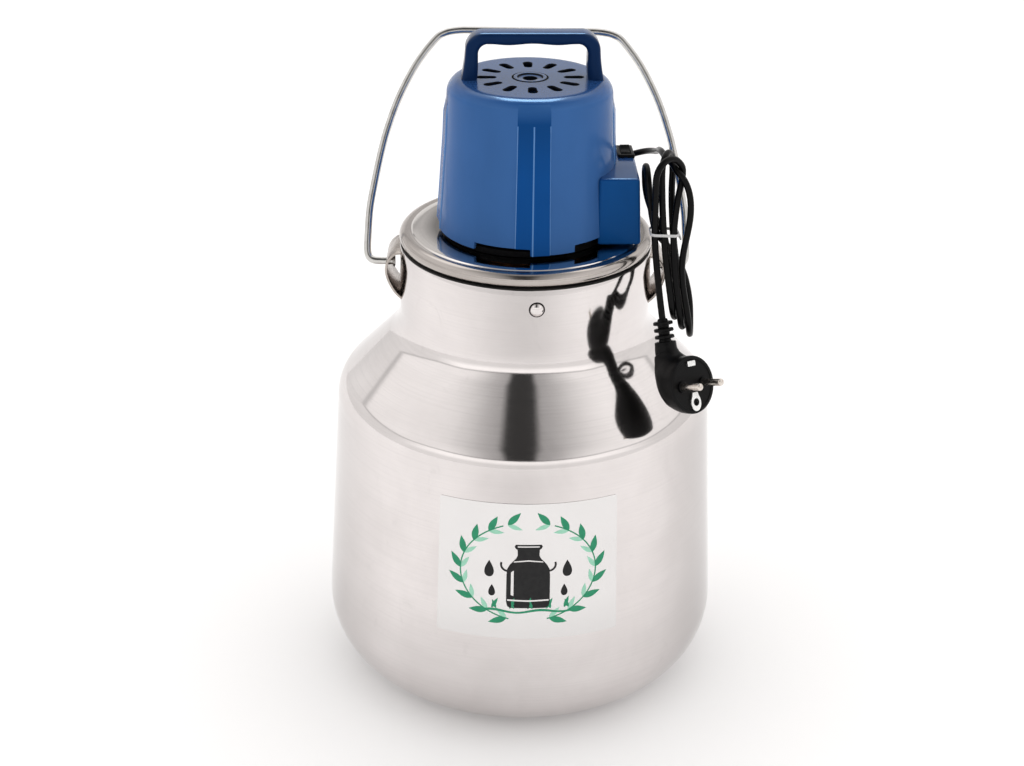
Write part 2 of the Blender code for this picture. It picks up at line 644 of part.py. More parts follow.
keep(lathe("agitator_shaft", [(0.0, 299.4), (SHAFT_R, 299.4), (SHAFT_R, 44.0), (4.0, 44.0), (4.0, 30.6), (3.4, 30.0), (0.0, 30.0)], closed=False, steps=20), STEEL, drive)
impeller = lathe("impeller", [(SHAFT_R + GAP, 64.0), (11.0, 64.0), (13.0, 62.0), (13.0, 46.0), (11.5, 44.4), (SHAFT_R + GAP, 44.4)], steps=24)
vanes = []
for i in range(4):
    vane = block("vane", (9.5, -1.5, -8.0), (IMPELLER_R, 1.5, 8.0))
    vane.matrix_world = Matrix.Rotation(math.radians(90 * i), 4, "Z") @ at(0, 0, 54.5) @ Matrix.Rotation(math.radians(32), 4, "X")
    vanes.append(vane)
boolean(impeller, cutter(merged("vanes", vanes), drive), "UNION")
keep(impeller, STEEL, drive)
nut = rod("impeller_nut", 8.0, 6.5, 6, at(0, 0, 40.3))
boolean(nut, cutter(rod("nut_bore", 4.0 + GAP, 20, 16, at(0, 0, 40)), drive), "DIFFERENCE")
keep(nut, WIRE, drive)

# ---------------------------------------------------------------- mains lead
turn = Matrix.Rotation(math.radians(HEAD_YAW), 3, "Z")
start = turn @ Vector((gland_at[0], BOX_Y[1] + GLAND_LENGTH + 2 * GAP, gland_at[1]))
lead = [
    start,
    start + turn @ Vector((0, 6, 0.1)),
    Vector((62.4, 65.6, 352.0)),
    Vector((69.8, 73.2, 354.8)),
    Vector((79.2, 72.8, 358.4)),
    Vector((86.8, 65.2, 362.5)),
    Vector((90.0, 53.6, 367.0)),
    Vector((90.4, 38.0, 374.0)),
    Vector((89.8, 20.0, 382.0)),
    Vector((89.0, 2.0, 388.2)),
    Vector((88.6, -12.0, 391.2)),
    Vector((88.5, -26.4, 392.0)),
]
keep(tube("power_cord_lead", smooth_route(lead, 9.0), CORD_R), BLACK)


def hank_middle(z):
    """The hank leans: its depth at this height."""
    return HANK_MIDDLE[0] + HANK_LEAN * (z - HANK_MIDDLE[1])


def rounded(low_x, high_x, low_y, high_y, z, steps=3):
    """A level section with round corners."""
    radius = 0.42 * min(high_x - low_x, high_y - low_y)
    ring = []
    for cx, cy, a in ((high_x - radius, high_y - radius, 0), (low_x + radius, high_y - radius, 90), (low_x + radius, low_y + radius, 180), (high_x - radius, low_y + radius, 270)):
        ring += [Vector((x, y, z)) * MM for x, y in arc(cx, cy, radius, a, a + 90, steps)]
    return ring


# The hank from the top: height, left, right and half depth. It has a round top, a waist at the tie with a loose loop on
# the right, and one long bunch of loops below.
hank_sections = [
    (399.0, 84.5, 94.0, 5.5),
    (396.5, 81.0, 98.0, 8.5),
    (388.0, 79.2, 104.0, 10.0),
    (374.0, 79.0, 108.3, 10.0),
    (358.0, 79.6, 111.8, 10.0),
    (344.0, 81.5, 112.2, 10.0),
    (336.0, 82.0, 108.6, 10.0),
    (328.0, 82.6, 103.6, 10.5),
    (318.0, 85.5, 104.6, 11.5),
    (309.0, 91.0, 107.2, 14.0),
    (297.0, 96.4, 110.0, 16.8),
    (286.0, 100.4, 112.0, 17.0),
    (277.0, 103.8, 112.0, 13.5),
    (273.0, 105.8, 110.6, 8.0),
]
work = bmesh.new()
rings = []
for z, left, right, deep in hank_sections:
    rings.append([work.verts.new(p) for p in rounded(left, right, hank_middle(z) - deep, hank_middle(z) + deep, z)])
for upper, lower in zip(rings, rings[1:]):
    for i in range(len(upper)):
        k = (i + 1) % len(upper)
        work.faces.new((upper[i], lower[i], lower[k], upper[k]))
work.faces.new(rings[0])
work.faces.new(reversed(rings[-1]))
bmesh.ops.recalc_face_normals(work, faces=work.faces)
hank_mesh = bpy.data.meshes.new("cord_hank")
work.to_mesh(hank_mesh)
work.free()
keep(bpy.data.objects.new("cord_hank", hank_mesh), BLACK)

tie_z = 344.0
tie_low, tie_high = (79.9, hank_middle(tie_z) - 11.6), (113.8, hank_middle(tie_z) + 11.6)
tie_line = []
for cx, cy, a in ((tie_high[0] - 4, tie_high[1] - 4, 0), (tie_low[0] + 4, tie_high[1] - 4, 90), (tie_low[0] + 4, tie_low[1] + 4, 180), (tie_high[0] - 4, tie_low[1] + 4, 270)):
    tie_line += [(x, y, tie_z) for x, y in arc(cx, cy, 4, a, a + 90, 3)]
keep(tube("cord_tie", tie_line, 1.0, cyclic=True, resolution=1), TIE)

# The plug's own frame: origin where the lead goes in, Z back up along the lead, X out of the face.
turn, tilt = math.radians(PLUG_TURN), math.radians(PLUG_TILT)
level = Vector((math.sin(turn), -math.cos(turn), 0))
way = level * math.cos(tilt) + Vector((0, 0, math.sin(tilt)))
up = Vector((0, 0, math.cos(tilt))) - level * math.sin(tilt)
across = up.cross(way)
roll = math.radians(PLUG_ROLL)
up, across = up * math.cos(roll) + across * math.sin(roll), across * math.cos(roll) - up * math.sin(roll)
top = Vector(PLUG_TOP)
plug_frame = Matrix.Translation(top * MM) @ Matrix((way, across, up)).transposed().to_4x4()
face = top + way * PLUG_REACH - up * PLUG_DROP

tail = [Vector((87.0, -57.9, 326.0)), Vector((87.0, -60.2, 325.6)), Vector((87.0, -62.6, 322.0)), Vector((87.1, -64.4, 314.0)), top + up * 10, top + up * 4, top + up * 2 * GAP]
keep(tube("cord_tail", smooth_route(tail, 4.0), CORD_R), BLACK)

ribs = [(0.0, 0.0), (3.2, 0.0)]
for i in range(3):
    z = -1.5 - 4.6 * i
    ribs += [(3.6, z), (6.4, z - 0.3), (6.4, z - 2.3), (3.8, z - 2.7)]
ribs += [(7.4, -15.4), (8.2, -18.0), (9.0, -30.0), (9.2, -42.0), (8.6, -50.0), (6.0, -54.0), (0.0, -55.0)]
plug = lathe("plug_body", ribs, closed=False, steps=16)
plug.matrix_world = plug_frame
plug_head = cutter(rod("plug_head", 14.0, 22.0, 28, Matrix.Translation((face - way * 11.0) * MM) @ along(way, up), small=19.0))
boolean(plug, plug_head, "UNION")
keep(plug, BLACK)
for i, side in enumerate((-1, 1)):
    pin = lathe("plug_pin_%d" % (i + 1), [(0.0, 19.0), (1.2, 19.0), (2.1, 18.2), (2.4, 17.0), (2.4, 0.0), (0.0, 0.0)], closed=False, steps=12)
    pin.matrix_world = Matrix.Translation((face + across * 9.5 * side + way * GAP) * MM) @ along(way, up)
    keep(pin, BRASS)
for name, side in (("plug_earth_top", 1.05), ("plug_earth_bottom", -0.85)):
    clip = block(name, (-3.2, -4.6, 0.0), (3.2, 4.6, 1.6))
    clip.matrix_world = Matrix.Translation((face + up * 13.4 * side + way * GAP) * MM) @ along(way, up)
    keep(clip, BRASS)

for obj in parts.objects:
    if obj.type == "MESH":
        smooth(obj.data)
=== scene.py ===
"""Looks of the can with a motor head: fine meshes, materials, the tied mains lead, light and camera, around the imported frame."""

import math

import bmesh
import bpy
import numpy as np
from mathutils import Matrix, Vector


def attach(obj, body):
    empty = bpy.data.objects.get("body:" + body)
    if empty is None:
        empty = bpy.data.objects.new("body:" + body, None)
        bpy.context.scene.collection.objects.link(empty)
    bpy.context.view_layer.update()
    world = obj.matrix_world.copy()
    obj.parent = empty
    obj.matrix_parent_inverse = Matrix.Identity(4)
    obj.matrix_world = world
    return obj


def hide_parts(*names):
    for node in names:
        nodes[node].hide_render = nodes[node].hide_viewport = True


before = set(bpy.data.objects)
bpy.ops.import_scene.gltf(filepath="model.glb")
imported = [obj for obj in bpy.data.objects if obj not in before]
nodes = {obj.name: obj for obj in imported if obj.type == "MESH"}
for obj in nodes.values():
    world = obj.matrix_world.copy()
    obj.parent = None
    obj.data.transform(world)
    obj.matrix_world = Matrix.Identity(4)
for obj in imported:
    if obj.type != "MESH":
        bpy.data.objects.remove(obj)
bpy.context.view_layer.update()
scene = bpy.context.scene
MM = 0.001
HEAD = Matrix.Rotation(math.radians(3.0), 4, "Z")  # the motor head is turned a little on the can
COVER = Matrix.Translation((0.0011, 0.0, 0.0)) @ HEAD  # the cover sits a little to the right of the can's axis
GRIP = Matrix.Translation((0.0024, 0.0, 0.0)) @ HEAD

# ------------------------------------------------------------------ camera
cam_data = bpy.data.cameras.new("photo_camera")
cam_data.sensor_width = 36.0
cam_data.lens = 64.34
cam_data.clip_start, cam_data.clip_end = 0.05, 40.0
cam = bpy.data.objects.new("photo_camera", cam_data)
scene.collection.objects.link(cam)
cam.matrix_world = (
    Matrix.Translation((-0.0079, -1.1620, 0.7838))
    @ Matrix.Rotation(math.radians(90.0 - 26.25), 4, "X")
    @ Matrix.Rotation(math.radians(0.83), 4, "Z")
)
scene.camera = cam


# ------------------------------------------------------------------ node helpers
class Graph:
    """A material's nodes, made with short calls."""

    def __init__(self, name):
        self.mat = bpy.data.materials.new(name)
        self.mat.use_nodes = True
        self.tree = self.mat.node_tree
        self.shader = self.tree.nodes["Principled BSDF"]
        self.coords = self.add("ShaderNodeTexCoord")

    def add(self, kind, **values):
        node = self.tree.nodes.new(kind)
        for key, value in values.items():
            setattr(node, key, value)
        return node

    def link(self, out, into):
        self.tree.links.new(out, into)

    def set(self, **values):
        for key, value in values.items():
            self.shader.inputs[key.replace("_", " ")].default_value = value
        return self

    def mapped(self, scale, source=None):
        node = self.add("ShaderNodeMapping")
        node.inputs["Scale"].default_value = scale
        self.link(source or self.coords.outputs["Object"], node.inputs["Vector"])
        return node.outputs["Vector"]

    def radius(self):
        """Distance from the upright axis, in metres."""
        flat = self.mapped((1, 1, 0))
        node = self.add("ShaderNodeVectorMath", operation="LENGTH")
        self.link(flat, node.inputs[0])
        return node.outputs["Value"]

    def split(self):
        node = self.add("ShaderNodeSeparateXYZ")
        self.link(self.coords.outputs["Object"], node.inputs[0])
        return node

    def ease(self, fac, low, high, start, end):
        out = self.remap(fac, low, high, start, end)
        out.node.interpolation_type = "SMOOTHSTEP"
        return out

    def ramped(self, fac, most):
        return self.remap(fac, 0.0, most, 0.0, 1.0)

    def times(self, a, b):
        node = self.add("ShaderNodeMath", operation="MULTIPLY")
        self.link(a, node.inputs[0])
        self.link(b, node.inputs[1])
        return node.outputs[0]

    def turned(self, along_r, along_z, along_turn):
        """Coordinates of a turned piece: radius, height and angle, each with its own scale, for lines that run round it."""
        parts = self.add("ShaderNodeSeparateXYZ")
        self.link(self.coords.outputs["Object"], parts.inputs[0])
        flat = self.add("ShaderNodeCombineXYZ")
        self.link(parts.outputs["X"], flat.inputs["X"])
        self.link(parts.outputs["Y"], flat.inputs["Y"])
        radius = self.add("ShaderNodeVectorMath", operation="LENGTH")
        self.link(flat.outputs[0], radius.inputs[0])
        angle = self.add("ShaderNodeMath", operation="ARCTAN2")
        self.link(parts.outputs["X"], angle.inputs[0])
        self.link(parts.outputs["Y"], angle.inputs[1])
        made = self.add("ShaderNodeCombineXYZ")
        for source, factor, place in ((radius.outputs["Value"], along_r, "X"), (parts.outputs["Z"], along_z, "Y"), (angle.outputs[0], along_turn, "Z")):
            times = self.add("ShaderNodeMath", operation="MULTIPLY")
            self.link(source, times.inputs[0])
            times.inputs[1].default_value = factor
            self.link(times.outputs[0], made.inputs[place])
        return made.outputs[0]

    def noise(self, vector, scale, detail=3.0, rough=0.5, distortion=0.0):
        node = self.add("ShaderNodeTexNoise")
        node.inputs["Scale"].default_value = scale
        node.inputs["Detail"].default_value = detail
        node.inputs["Roughness"].default_value = rough
        node.inputs["Distortion"].default_value = distortion
        self.link(vector, node.inputs["Vector"])
        return node.outputs["Fac"]

    def ramp(self, fac, stops):
        node = self.add("ShaderNodeValToRGB")
        while len(node.color_ramp.elements) < len(stops):
            node.color_ramp.elements.new(0.5)
        for element, (place, colour) in zip(node.color_ramp.elements, stops):
            element.position = place
            element.color = (*colour, 1.0)
        self.link(fac, node.inputs["Fac"])
        return node.outputs["Color"]

    def remap(self, fac, low, high, start=0.3, end=0.7):
        node = self.add("ShaderNodeMapRange")
        node.inputs["From Min"].default_value = start
        node.inputs["From Max"].default_value = end
        node.inputs["To Min"].default_value = low
        node.inputs["To Max"].default_value = high
        self.link(fac, node.inputs["Value"])
        return node.outputs["Result"]

    def mix(self, fac, a, b):
        node = self.add("ShaderNodeMix", data_type="RGBA")
        self.link(fac, node.inputs["Factor"])
        for value, socket in ((a, node.inputs["A"]), (b, node.inputs["B"])):
            if isinstance(value, tuple):
                socket.default_value = (*value, 1.0)
            else:
                self.link(value, socket)
        return node.outputs["Result"]

    def bump(self, height, distance, strength=1.0, under=None):
        node = self.add("ShaderNodeBump")
        node.inputs["Distance"].default_value = distance
        node.inputs["Strength"].default_value = strength
        self.link(height, node.inputs["Height"])
        if under is not None:
            self.link(under, node.inputs["Normal"])
        return node.outputs["Normal"]

    def base(self, out):
        self.link(out, self.shader.inputs["Base Color"])
        return self

    def roughness(self, out):
        self.link(out, self.shader.inputs["Roughness"])
        return self

    def normal(self, out):
        self.link(out, self.shader.inputs["Normal"])
        return self


def spun_metal(name, dark, light, rough, line_bump, dent=0.00006, painted_shade_ring=None, painted_dark_reflection=False):
    g = Graph(name)
    g.set(Metallic=1.0)
    lines = g.noise(g.turned(900.0, 900.0, 1.4), 1.0, 4.0, 0.65)
    broad = g.noise(g.mapped((1, 1, 1)), 14.0, 4.0, 0.6, 0.4)
    stain = g.noise(g.mapped((1, 1, 0.6)), 46.0, 5.0, 0.7, 1.2)
    tone = g.ramp(broad, [(0.3, dark), (0.7, light)])
    tone = g.mix(g.remap(stain, 0.0, 0.22, 0.62, 0.78), tone, tuple(c * 0.62 for c in dark))
    tone = g.mix(g.remap(lines, 0.0, 0.30, 0.45, 0.80), tone, tuple(c * 0.86 for c in dark))
    if painted_shade_ring:
        # painted shade: the steel darkens towards the axis inside the given radii, standing in for the shaded cover it
        # reflects
        tone = g.mix(g.remap(g.radius(), 0.0, 1.0, painted_shade_ring[0], painted_shade_ring[1]), tuple(c * painted_shade_ring[2] for c in dark), tone)
    if painted_dark_reflection:
        # painted reflection: darker steel on the can's flanks, round its base, behind its shoulder and in a soft band
        # down its front, standing in for dark parts of the room that the steel reflects
        half = tuple(c * 0.5 for c in dark)
        place = g.split()
        x, y, z = (place.outputs[axis] for axis in "XYZ")
        body = g.ease(z, 1.0, 0.0, 0.200, 0.232)
        neck = g.ease(z, 0.0, 1.0, 0.258, 0.276)
        cone = g.times(g.ease(z, 0.0, 1.0, 0.205, 0.235), g.ease(z, 1.0, 0.0, 0.262, 0.276))
        front = g.times(g.ease(x, 0.0, 1.0, -0.050, 0.0), g.ease(x, 1.0, 0.0, 0.0, 0.044))
        for share in (
            g.times(body, g.ease(x, 0.0, 0.62, 0.074, 0.138)),
            g.times(body, g.ease(x, 0.0, 0.46, -0.086, -0.138)),
            g.ease(z, 0.19, 0.0, 0.060, 0.116),
            g.times(cone, g.ease(y, 0.0, 0.50, -0.045, 0.012)),
            g.times(neck, g.ease(x, 0.0, 0.40, -0.062, -0.088)),
            g.times(neck, g.ramped(front, 0.50)),
            g.times(g.times(body, front), g.ease(z, 0.06, 0.32, 0.10, 0.19)),
        ):
            tone = g.mix(share, tone, half)
    g.base(tone)
    g.roughness(g.remap(lines, rough[0], rough[1], 0.25, 0.75))
    wavy = g.bump(broad, dent)
    g.normal(g.bump(lines, line_bump, 1.0, wavy))
    return g.mat


def moulded(name, dark, light, rough, bump=0.00002, shine=0.5, scale=420.0):
    g = Graph(name)
    g.set(Specular_IOR_Level=shine)
    cloud = g.noise(g.mapped((1, 1, 1)), 22.0, 3.0, 0.55)
    fine = g.noise(g.mapped((1, 1, 1)), scale, 3.0, 0.6)
    g.base(g.ramp(cloud, [(0.32, dark), (0.68, light)]))
    g.roughness(g.remap(fine, rough[0], rough[1]))
    g.normal(g.bump(fine, bump))
    return g.mat


def painted(name, side, top, shine_side, shine_top, rough, upper=None):
    """A lacquer with painted light: its upright faces and its level faces each have their own tone, lit or shaded by
    which way they face, and their own shine.
    """
    g = Graph(name)
    split = g.add("ShaderNodeSeparateXYZ")
    g.link(g.coords.outputs["Normal"], split.inputs[0])
    cloud = g.noise(g.mapped((1, 1, 0.4)), 26.0, 3.0, 0.55)
    fine = g.noise(g.mapped((1, 1, 1)), 520.0, 3.0, 0.6)
    upright = g.ramp(cloud, [(0.32, tuple(c * 0.93 for c in side)), (0.68, tuple(c * 1.07 for c in side))])
    level = g.ramp(cloud, [(0.32, tuple(c * 0.95 for c in top)), (0.68, tuple(c * 1.05 for c in top))])
    if upper:
        # painted shade: upright faces take the darker upper tone from 385 mm up, then a panel tone near the top edge
        place = g.add("ShaderNodeSeparateXYZ")
        g.link(g.coords.outputs["Object"], place.inputs[0])
        upright = g.mix(g.remap(place.outputs["Z"], 0.0, 1.0, 0.385, 0.416), upright, upper)
        upright = g.mix(g.remap(place.outputs["Z"], 0.0, 1.0, 0.4195, 0.4285), upright, (0.024, 0.090, 0.262))
    else:
        # painted shade: a darker band on faces tilted between upright and level, under the top edges
        upright = g.mix(g.remap(split.outputs["Z"], 0.0, 1.0, 0.45, 0.75), upright, tuple(c * f for c, f in zip(side, (0.35, 0.62, 0.78))))
    g.base(g.mix(g.remap(split.outputs["Z"], 0.0, 1.0, 0.82, 0.98), upright, level))
    g.link(g.remap(split.outputs["Z"], shine_side, shine_top, 0.35, 0.85), g.shader.inputs["Specular IOR Level"])
    g.set(Specular_Tint=(0.46, 0.74, 1.0, 1.0))
    g.roughness(g.remap(fine, rough[0], rough[1]))
    g.normal(g.bump(fine, 0.0000015))
    return g.mat


def drawn_metal(name, dark, light, rough, scale=(1, 1, 1), grain=300.0, bump=0.00002):
    g = Graph(name)
    g.set(Metallic=1.0)
    streak = g.noise(g.mapped(scale), grain, 4.0, 0.6)
    g.base(g.ramp(streak, [(0.3, dark), (0.7, light)]))
    g.roughness(g.remap(streak, rough[0], rough[1]))
    g.normal(g.bump(streak, bump))
    return g.mat


STEEL = spun_metal("spun_steel", (0.70, 0.662, 0.652), (0.80, 0.760, 0.750), (0.075, 0.125), 0.0000022)
# the can's shell steel, with the painted dark reflections
CAN_STEEL = spun_metal("can_steel", (0.70, 0.662, 0.652), (0.80, 0.760, 0.750), (0.075, 0.125), 0.0000022, painted_dark_reflection=True)
# the lid's steel, with painted shade inside 61.5 to 70.5 mm from the axis
LID_STEEL = spun_metal("lid_steel", (0.64, 0.605, 0.58), (0.74, 0.705, 0.68), (0.07, 0.12), 0.000002, 0.00003, (0.0615, 0.0705, 0.40))
# painted shade: the lugs' steel is darker and browner than the can's, for the shade they sit in
EAR_STEEL = drawn_metal("ear_steel", (0.36, 0.32, 0.29), (0.50, 0.455, 0.42), (0.2, 0.32), (1, 1, 1), 120.0)
BEAD_STEEL = spun_metal("bead_steel", (0.42, 0.386, 0.362), (0.51, 0.472, 0.446), (0.15, 0.21), 0.000002, 0.00003)
WIRE = drawn_metal("bail_wire", (0.54, 0.53, 0.51), (0.66, 0.65, 0.63), (0.16, 0.27), (1, 1, 1), 160.0)
BRIGHT = drawn_metal("bright_steel", (0.55, 0.55, 0.55), (0.68, 0.68, 0.67), (0.2, 0.32), (1, 1, 1), 420.0)
BLUE = painted("blue_cover", (0.038, 0.114, 0.306), (0.016, 0.058, 0.185), 0.10, 0.56, (0.16, 0.22))
# painted shade: the rib strips are a darker blue, standing in for the dark reflection along them
BLUE_STRIP = painted("blue_rib", (0.0050, 0.062, 0.240), (0.018, 0.060, 0.185), 0.06, 0.5, (0.16, 0.22), (0.0046, 0.050, 0.188))
SLOT = moulded("slot_shade", (0.0012, 0.0020, 0.0050), (0.0024, 0.0040, 0.0095), (0.5, 0.6), 0.00001, 0.1)
# painted highlight: a lighter blue on the ribs' steep sides and middle bead, for the light those edges catch
BLUE_EDGE_HIGHLIGHT = painted("blue_rib_edge_highlight", (0.080, 0.200, 0.45), (0.06, 0.16, 0.38), 0.4, 0.5, (0.16, 0.22))
BLUE_BOX = painted("blue_box", (0.0052, 0.062, 0.222), (0.014, 0.055, 0.175), 0.08, 0.62, (0.16, 0.22))
BLUE_GRIP = painted("blue_grip", (0.0045, 0.0185, 0.068), (0.010, 0.050, 0.165), 0.08, 0.45, (0.17, 0.23))
BLACK = moulded("black_plastic", (0.0016, 0.0016, 0.0018), (0.0028, 0.0028, 0.0030), (0.34, 0.44), 0.00001, 0.13)
JACKET = moulded("cord_jacket", (0.0012, 0.0012, 0.0014), (0.0024, 0.0024, 0.0026), (0.26, 0.36), 0.00001, 0.12, 260.0)
RUBBER = moulded("seal_rubber", (0.010, 0.010, 0.010), (0.022, 0.021, 0.020), (0.55, 0.75), 0.00004)
TIE = moulded("tie_film", (0.46, 0.46, 0.47), (0.60, 0.60, 0.60), (0.26, 0.4), 0.00003)
NICKEL = drawn_metal("pin_nickel", (0.62, 0.56, 0.50), (0.78, 0.73, 0.68), (0.17, 0.28), (1, 1, 1), 500.0)
CLIP = drawn_metal("clip_nickel", (0.80, 0.80, 0.79), (0.92, 0.92, 0.91), (0.2, 0.32), (1, 1, 1), 500.0)
CAST = drawn_metal("cast_metal", (0.006, 0.006, 0.007), (0.014, 0.014, 0.015), (0.5, 0.66), (1, 1, 1), 380.0, 0.00008)
COPPER = drawn_metal("copper_winding", (0.30, 0.10, 0.035), (0.55, 0.21, 0.08), (0.3, 0.5), (1, 1, 6), 380.0, 0.0003)
CORE = drawn_metal("core_sheets", (0.16, 0.16, 0.165), (0.30, 0.30, 0.31), (0.4, 0.6), (0.05, 0.05, 6), 300.0, 0.00008)
DULL = drawn_metal("drawn_alloy", (0.48, 0.48, 0.49), (0.62, 0.62, 0.63), (0.3, 0.45), (1, 1, 1), 260.0)


# ------------------------------------------------------------------ shape helpers (mm in, metres out)
def add_object(name, mesh, body, mat, slot, *stands_for, place=None, smooth=32.0):
    obj = bpy.data.objects.new(name, mesh)
    scene.collection.objects.link(obj)
    if place is not None:
        mesh.transform(place)
    mesh.materials.clear()
    mesh.materials.append(mat)
    if smooth is not None:
        mesh.shade_smooth()
        mesh.set_sharp_from_angle(angle=math.radians(smooth))
    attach(obj, body)
    if stands_for:
        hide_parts(*stands_for)
    return obj


def mesh_of(name, verts, faces):
    mesh = bpy.data.meshes.new(name)
    mesh.from_pydata([tuple(c * MM for c in v) for v in verts], [], faces)
    work = bmesh.new()
    work.from_mesh(mesh)
    bmesh.ops.recalc_face_normals(work, faces=work.faces)
    work.to_mesh(mesh)
    work.free()
    return mesh


def lathe(name, profile, steps=160, closed=True):
    """A turned mesh from (radius, height) points. An open profile starts and ends on the axis."""
    verts, faces, rings = [], [], []
    for r, z in profile:
        if r < 1e-6:
            rings.append([len(verts)] * steps)
            verts.append((0.0, 0.0, z))
        else:
            rings.append(list(range(len(verts), len(verts) + steps)))
            for i in range(steps):
                a = 2 * math.pi * i / steps
                verts.append((r * math.cos(a), r * math.sin(a), z))
    pairs = list(zip(rings, rings[1:]))
    if closed:
        pairs.append((rings[-1], rings[0]))
    for a, b in pairs:
        for i in range(steps):
            k = (i + 1) % steps
            face = []
            for v in (a[i], a[k], b[k], b[i]):
                if v not in face:
                    face.append(v)
            if len(face) > 2:
                faces.append(face)
    return mesh_of(name, verts, faces)


def arc(cx, cy, radius, start, end, steps):
    return [(cx + radius * math.cos(math.radians(start + (end - start) * i / steps)), cy + radius * math.sin(math.radians(start + (end - start) * i / steps))) for i in range(steps + 1)]


def corner(before, at, after, radius, steps):
    a = (Vector(before) - Vector(at)).normalized()
    b = (Vector(after) - Vector(at)).normalized()
    half = a.angle(b) / 2
    reach = radius / math.tan(half)
    centre = Vector(at) + (a + b).normalized() * (radius / math.sin(half))
    start, end = Vector(at) + a * reach - centre, Vector(at) + b * reach - centre
    turn = start.angle_signed(end)
    found = []
    for i in range(steps + 1):
        angle = -turn * i / steps
        c, s = math.cos(angle), math.sin(angle)
        found.append((centre.x + c * start.x - s * start.y, centre.y + s * start.x + c * start.y))
    return found


def softened(profile, radius, steps=3, sharp=28.0):
    """A closed (radius, height) outline with its sharp corners rounded."""
    found, count = [], len(profile)
    for i, at in enumerate(profile):
        before, after = profile[i - 1], profile[(i + 1) % count]
        a, b = Vector(before) - Vector(at), Vector(after) - Vector(at)
        turn = math.degrees(math.pi - a.angle(b))
        room = 0.45 * min(a.length, b.length)
        if turn < sharp:
            found.append(at)
            continue
        half = a.angle(b) / 2
        size = min(radius, room * math.tan(half))
        found += corner(before, at, after, size, steps)
    return found


def catmull(points, spacing):
    """Points at this spacing on a smooth curve through the given ones."""
    knots = [Vector(p) for p in points]
    knots = [2 * knots[0] - knots[1]] + knots + [2 * knots[-1] - knots[-2]]
    fine = []
    for a, b, c, d in zip(knots, knots[1:], knots[2:], knots[3:]):
        for i in range(24):
            t = i / 24
            fine.append(0.5 * (2 * b + (c - a) * t + (2 * a - 5 * b + 4 * c - d) * t**2 + (3 * b - a - 3 * c + d) * t**3))
    fine.append(knots[-2])
    fine = np.array(fine)
    run = np.concatenate([[0.0], np.cumsum(np.linalg.norm(np.diff(fine, axis=0), axis=1))])
    count = max(2, round(run[-1] / spacing))
    want = np.linspace(0.0, run[-1], count + 1)
    return np.stack([np.interp(want, run, fine[:, i]) for i in range(fine.shape[1])], axis=1)


def tube_mesh(name, points, radius, sides=18):
    """A round wire along points (mm) with closed ends, with a frame carried along it."""
    points = [Vector(p) for p in points]
    tangents = []
    for i in range(len(points)):
        a, b = points[max(i - 1, 0)], points[min(i + 1, len(points) - 1)]
        tangents.append((b - a).normalized())
    side = tangents[0].orthogonal().normalized()
    verts, faces = [], []
    for i, (p, t) in enumerate(zip(points, tangents)):
        side = (side - t * side.dot(t)).normalized()
        up = t.cross(side)
        r = radius[i] if hasattr(radius, "__len__") else radius
        for k in range(sides):
            a = 2 * math.pi * k / sides
            verts.append(tuple(p + (side * math.cos(a) + up * math.sin(a)) * r))
    for i in range(len(points) - 1):
        for k in range(sides):
            m = (k + 1) % sides
            faces.append((i * sides + k, i * sides + m, (i + 1) * sides + m, (i + 1) * sides + k))
    faces.append(tuple(range(sides)))
    faces.append(tuple((len(points) - 1) * sides + k for k in range(sides)))
    return mesh_of(name, verts, faces)


def slab_mesh(name, outline, thickness, round_edge, steps=4):
    """A flat outline in the XZ plane, given a thickness along Y, with rounded front and back edges."""
    work = bmesh.new()
    front = [work.verts.new((x * MM, -thickness / 2 * MM, z * MM)) for x, z in outline]
    back = [work.verts.new((x * MM, thickness / 2 * MM, z * MM)) for x, z in outline]
    work.faces.new(front)
    work.faces.new(list(reversed(back)))
    count = len(outline)
    for i in range(count):
        k = (i + 1) % count
        work.faces.new((front[k], front[i], back[i], back[k]))
    bmesh.ops.recalc_face_normals(work, faces=work.faces)
    rim = [e for e in work.edges if abs(e.verts[0].co.y - e.verts[1].co.y) < 1e-7]
    bmesh.ops.bevel(work, geom=rim, offset=round_edge * MM, segments=steps, profile=0.5, affect="EDGES", clamp_overlap=False)
    mesh = bpy.data.meshes.new(name)
    work.to_mesh(mesh)
    work.free()
    return mesh


def rounded_slab(name, outline, thickness, radius, steps=6):
    """A flat outline in the XZ plane, given a thickness along Y, its edges rounded by drawing in the outer layers."""
    points = np.array(outline)
    run = np.roll(points, -1, axis=0) - np.roll(points, 1, axis=0)
    run /= np.linalg.norm(run, axis=1)[:, None]
    area = 0.5 * np.sum(points[:, 0] * np.roll(points[:, 1], -1) - np.roll(points[:, 0], -1) * points[:, 1])
    inward = np.stack([-run[:, 1], run[:, 0]], 1) * (1.0 if area > 0 else -1.0)
    low = points[:, 1] < points[:, 1].min() + 1e-6
    inward[low, 1] = 0.0
    layers = []
    for i in range(steps + 1):
        a = math.pi / 2 * i / steps
        layers.append((-thickness / 2 + radius * (1 - math.sin(a)), radius * (1 - math.cos(a))))
    layers = layers[::-1]
    layers = layers + [(-y, d) for y, d in reversed(layers)]
    verts, faces, n = [], [], len(points)
    for y, d in layers:
        verts += [(x, y, z) for x, z in points + inward * d]
    for i in range(len(layers) - 1):
        faces += [(i * n + k, i * n + (k + 1) % n, (i + 1) * n + (k + 1) % n, (i + 1) * n + k) for k in range(n)]
    faces += [tuple(range(n)), tuple((len(layers) - 1) * n + k for k in range(n))]
    return mesh_of(name, verts, faces)


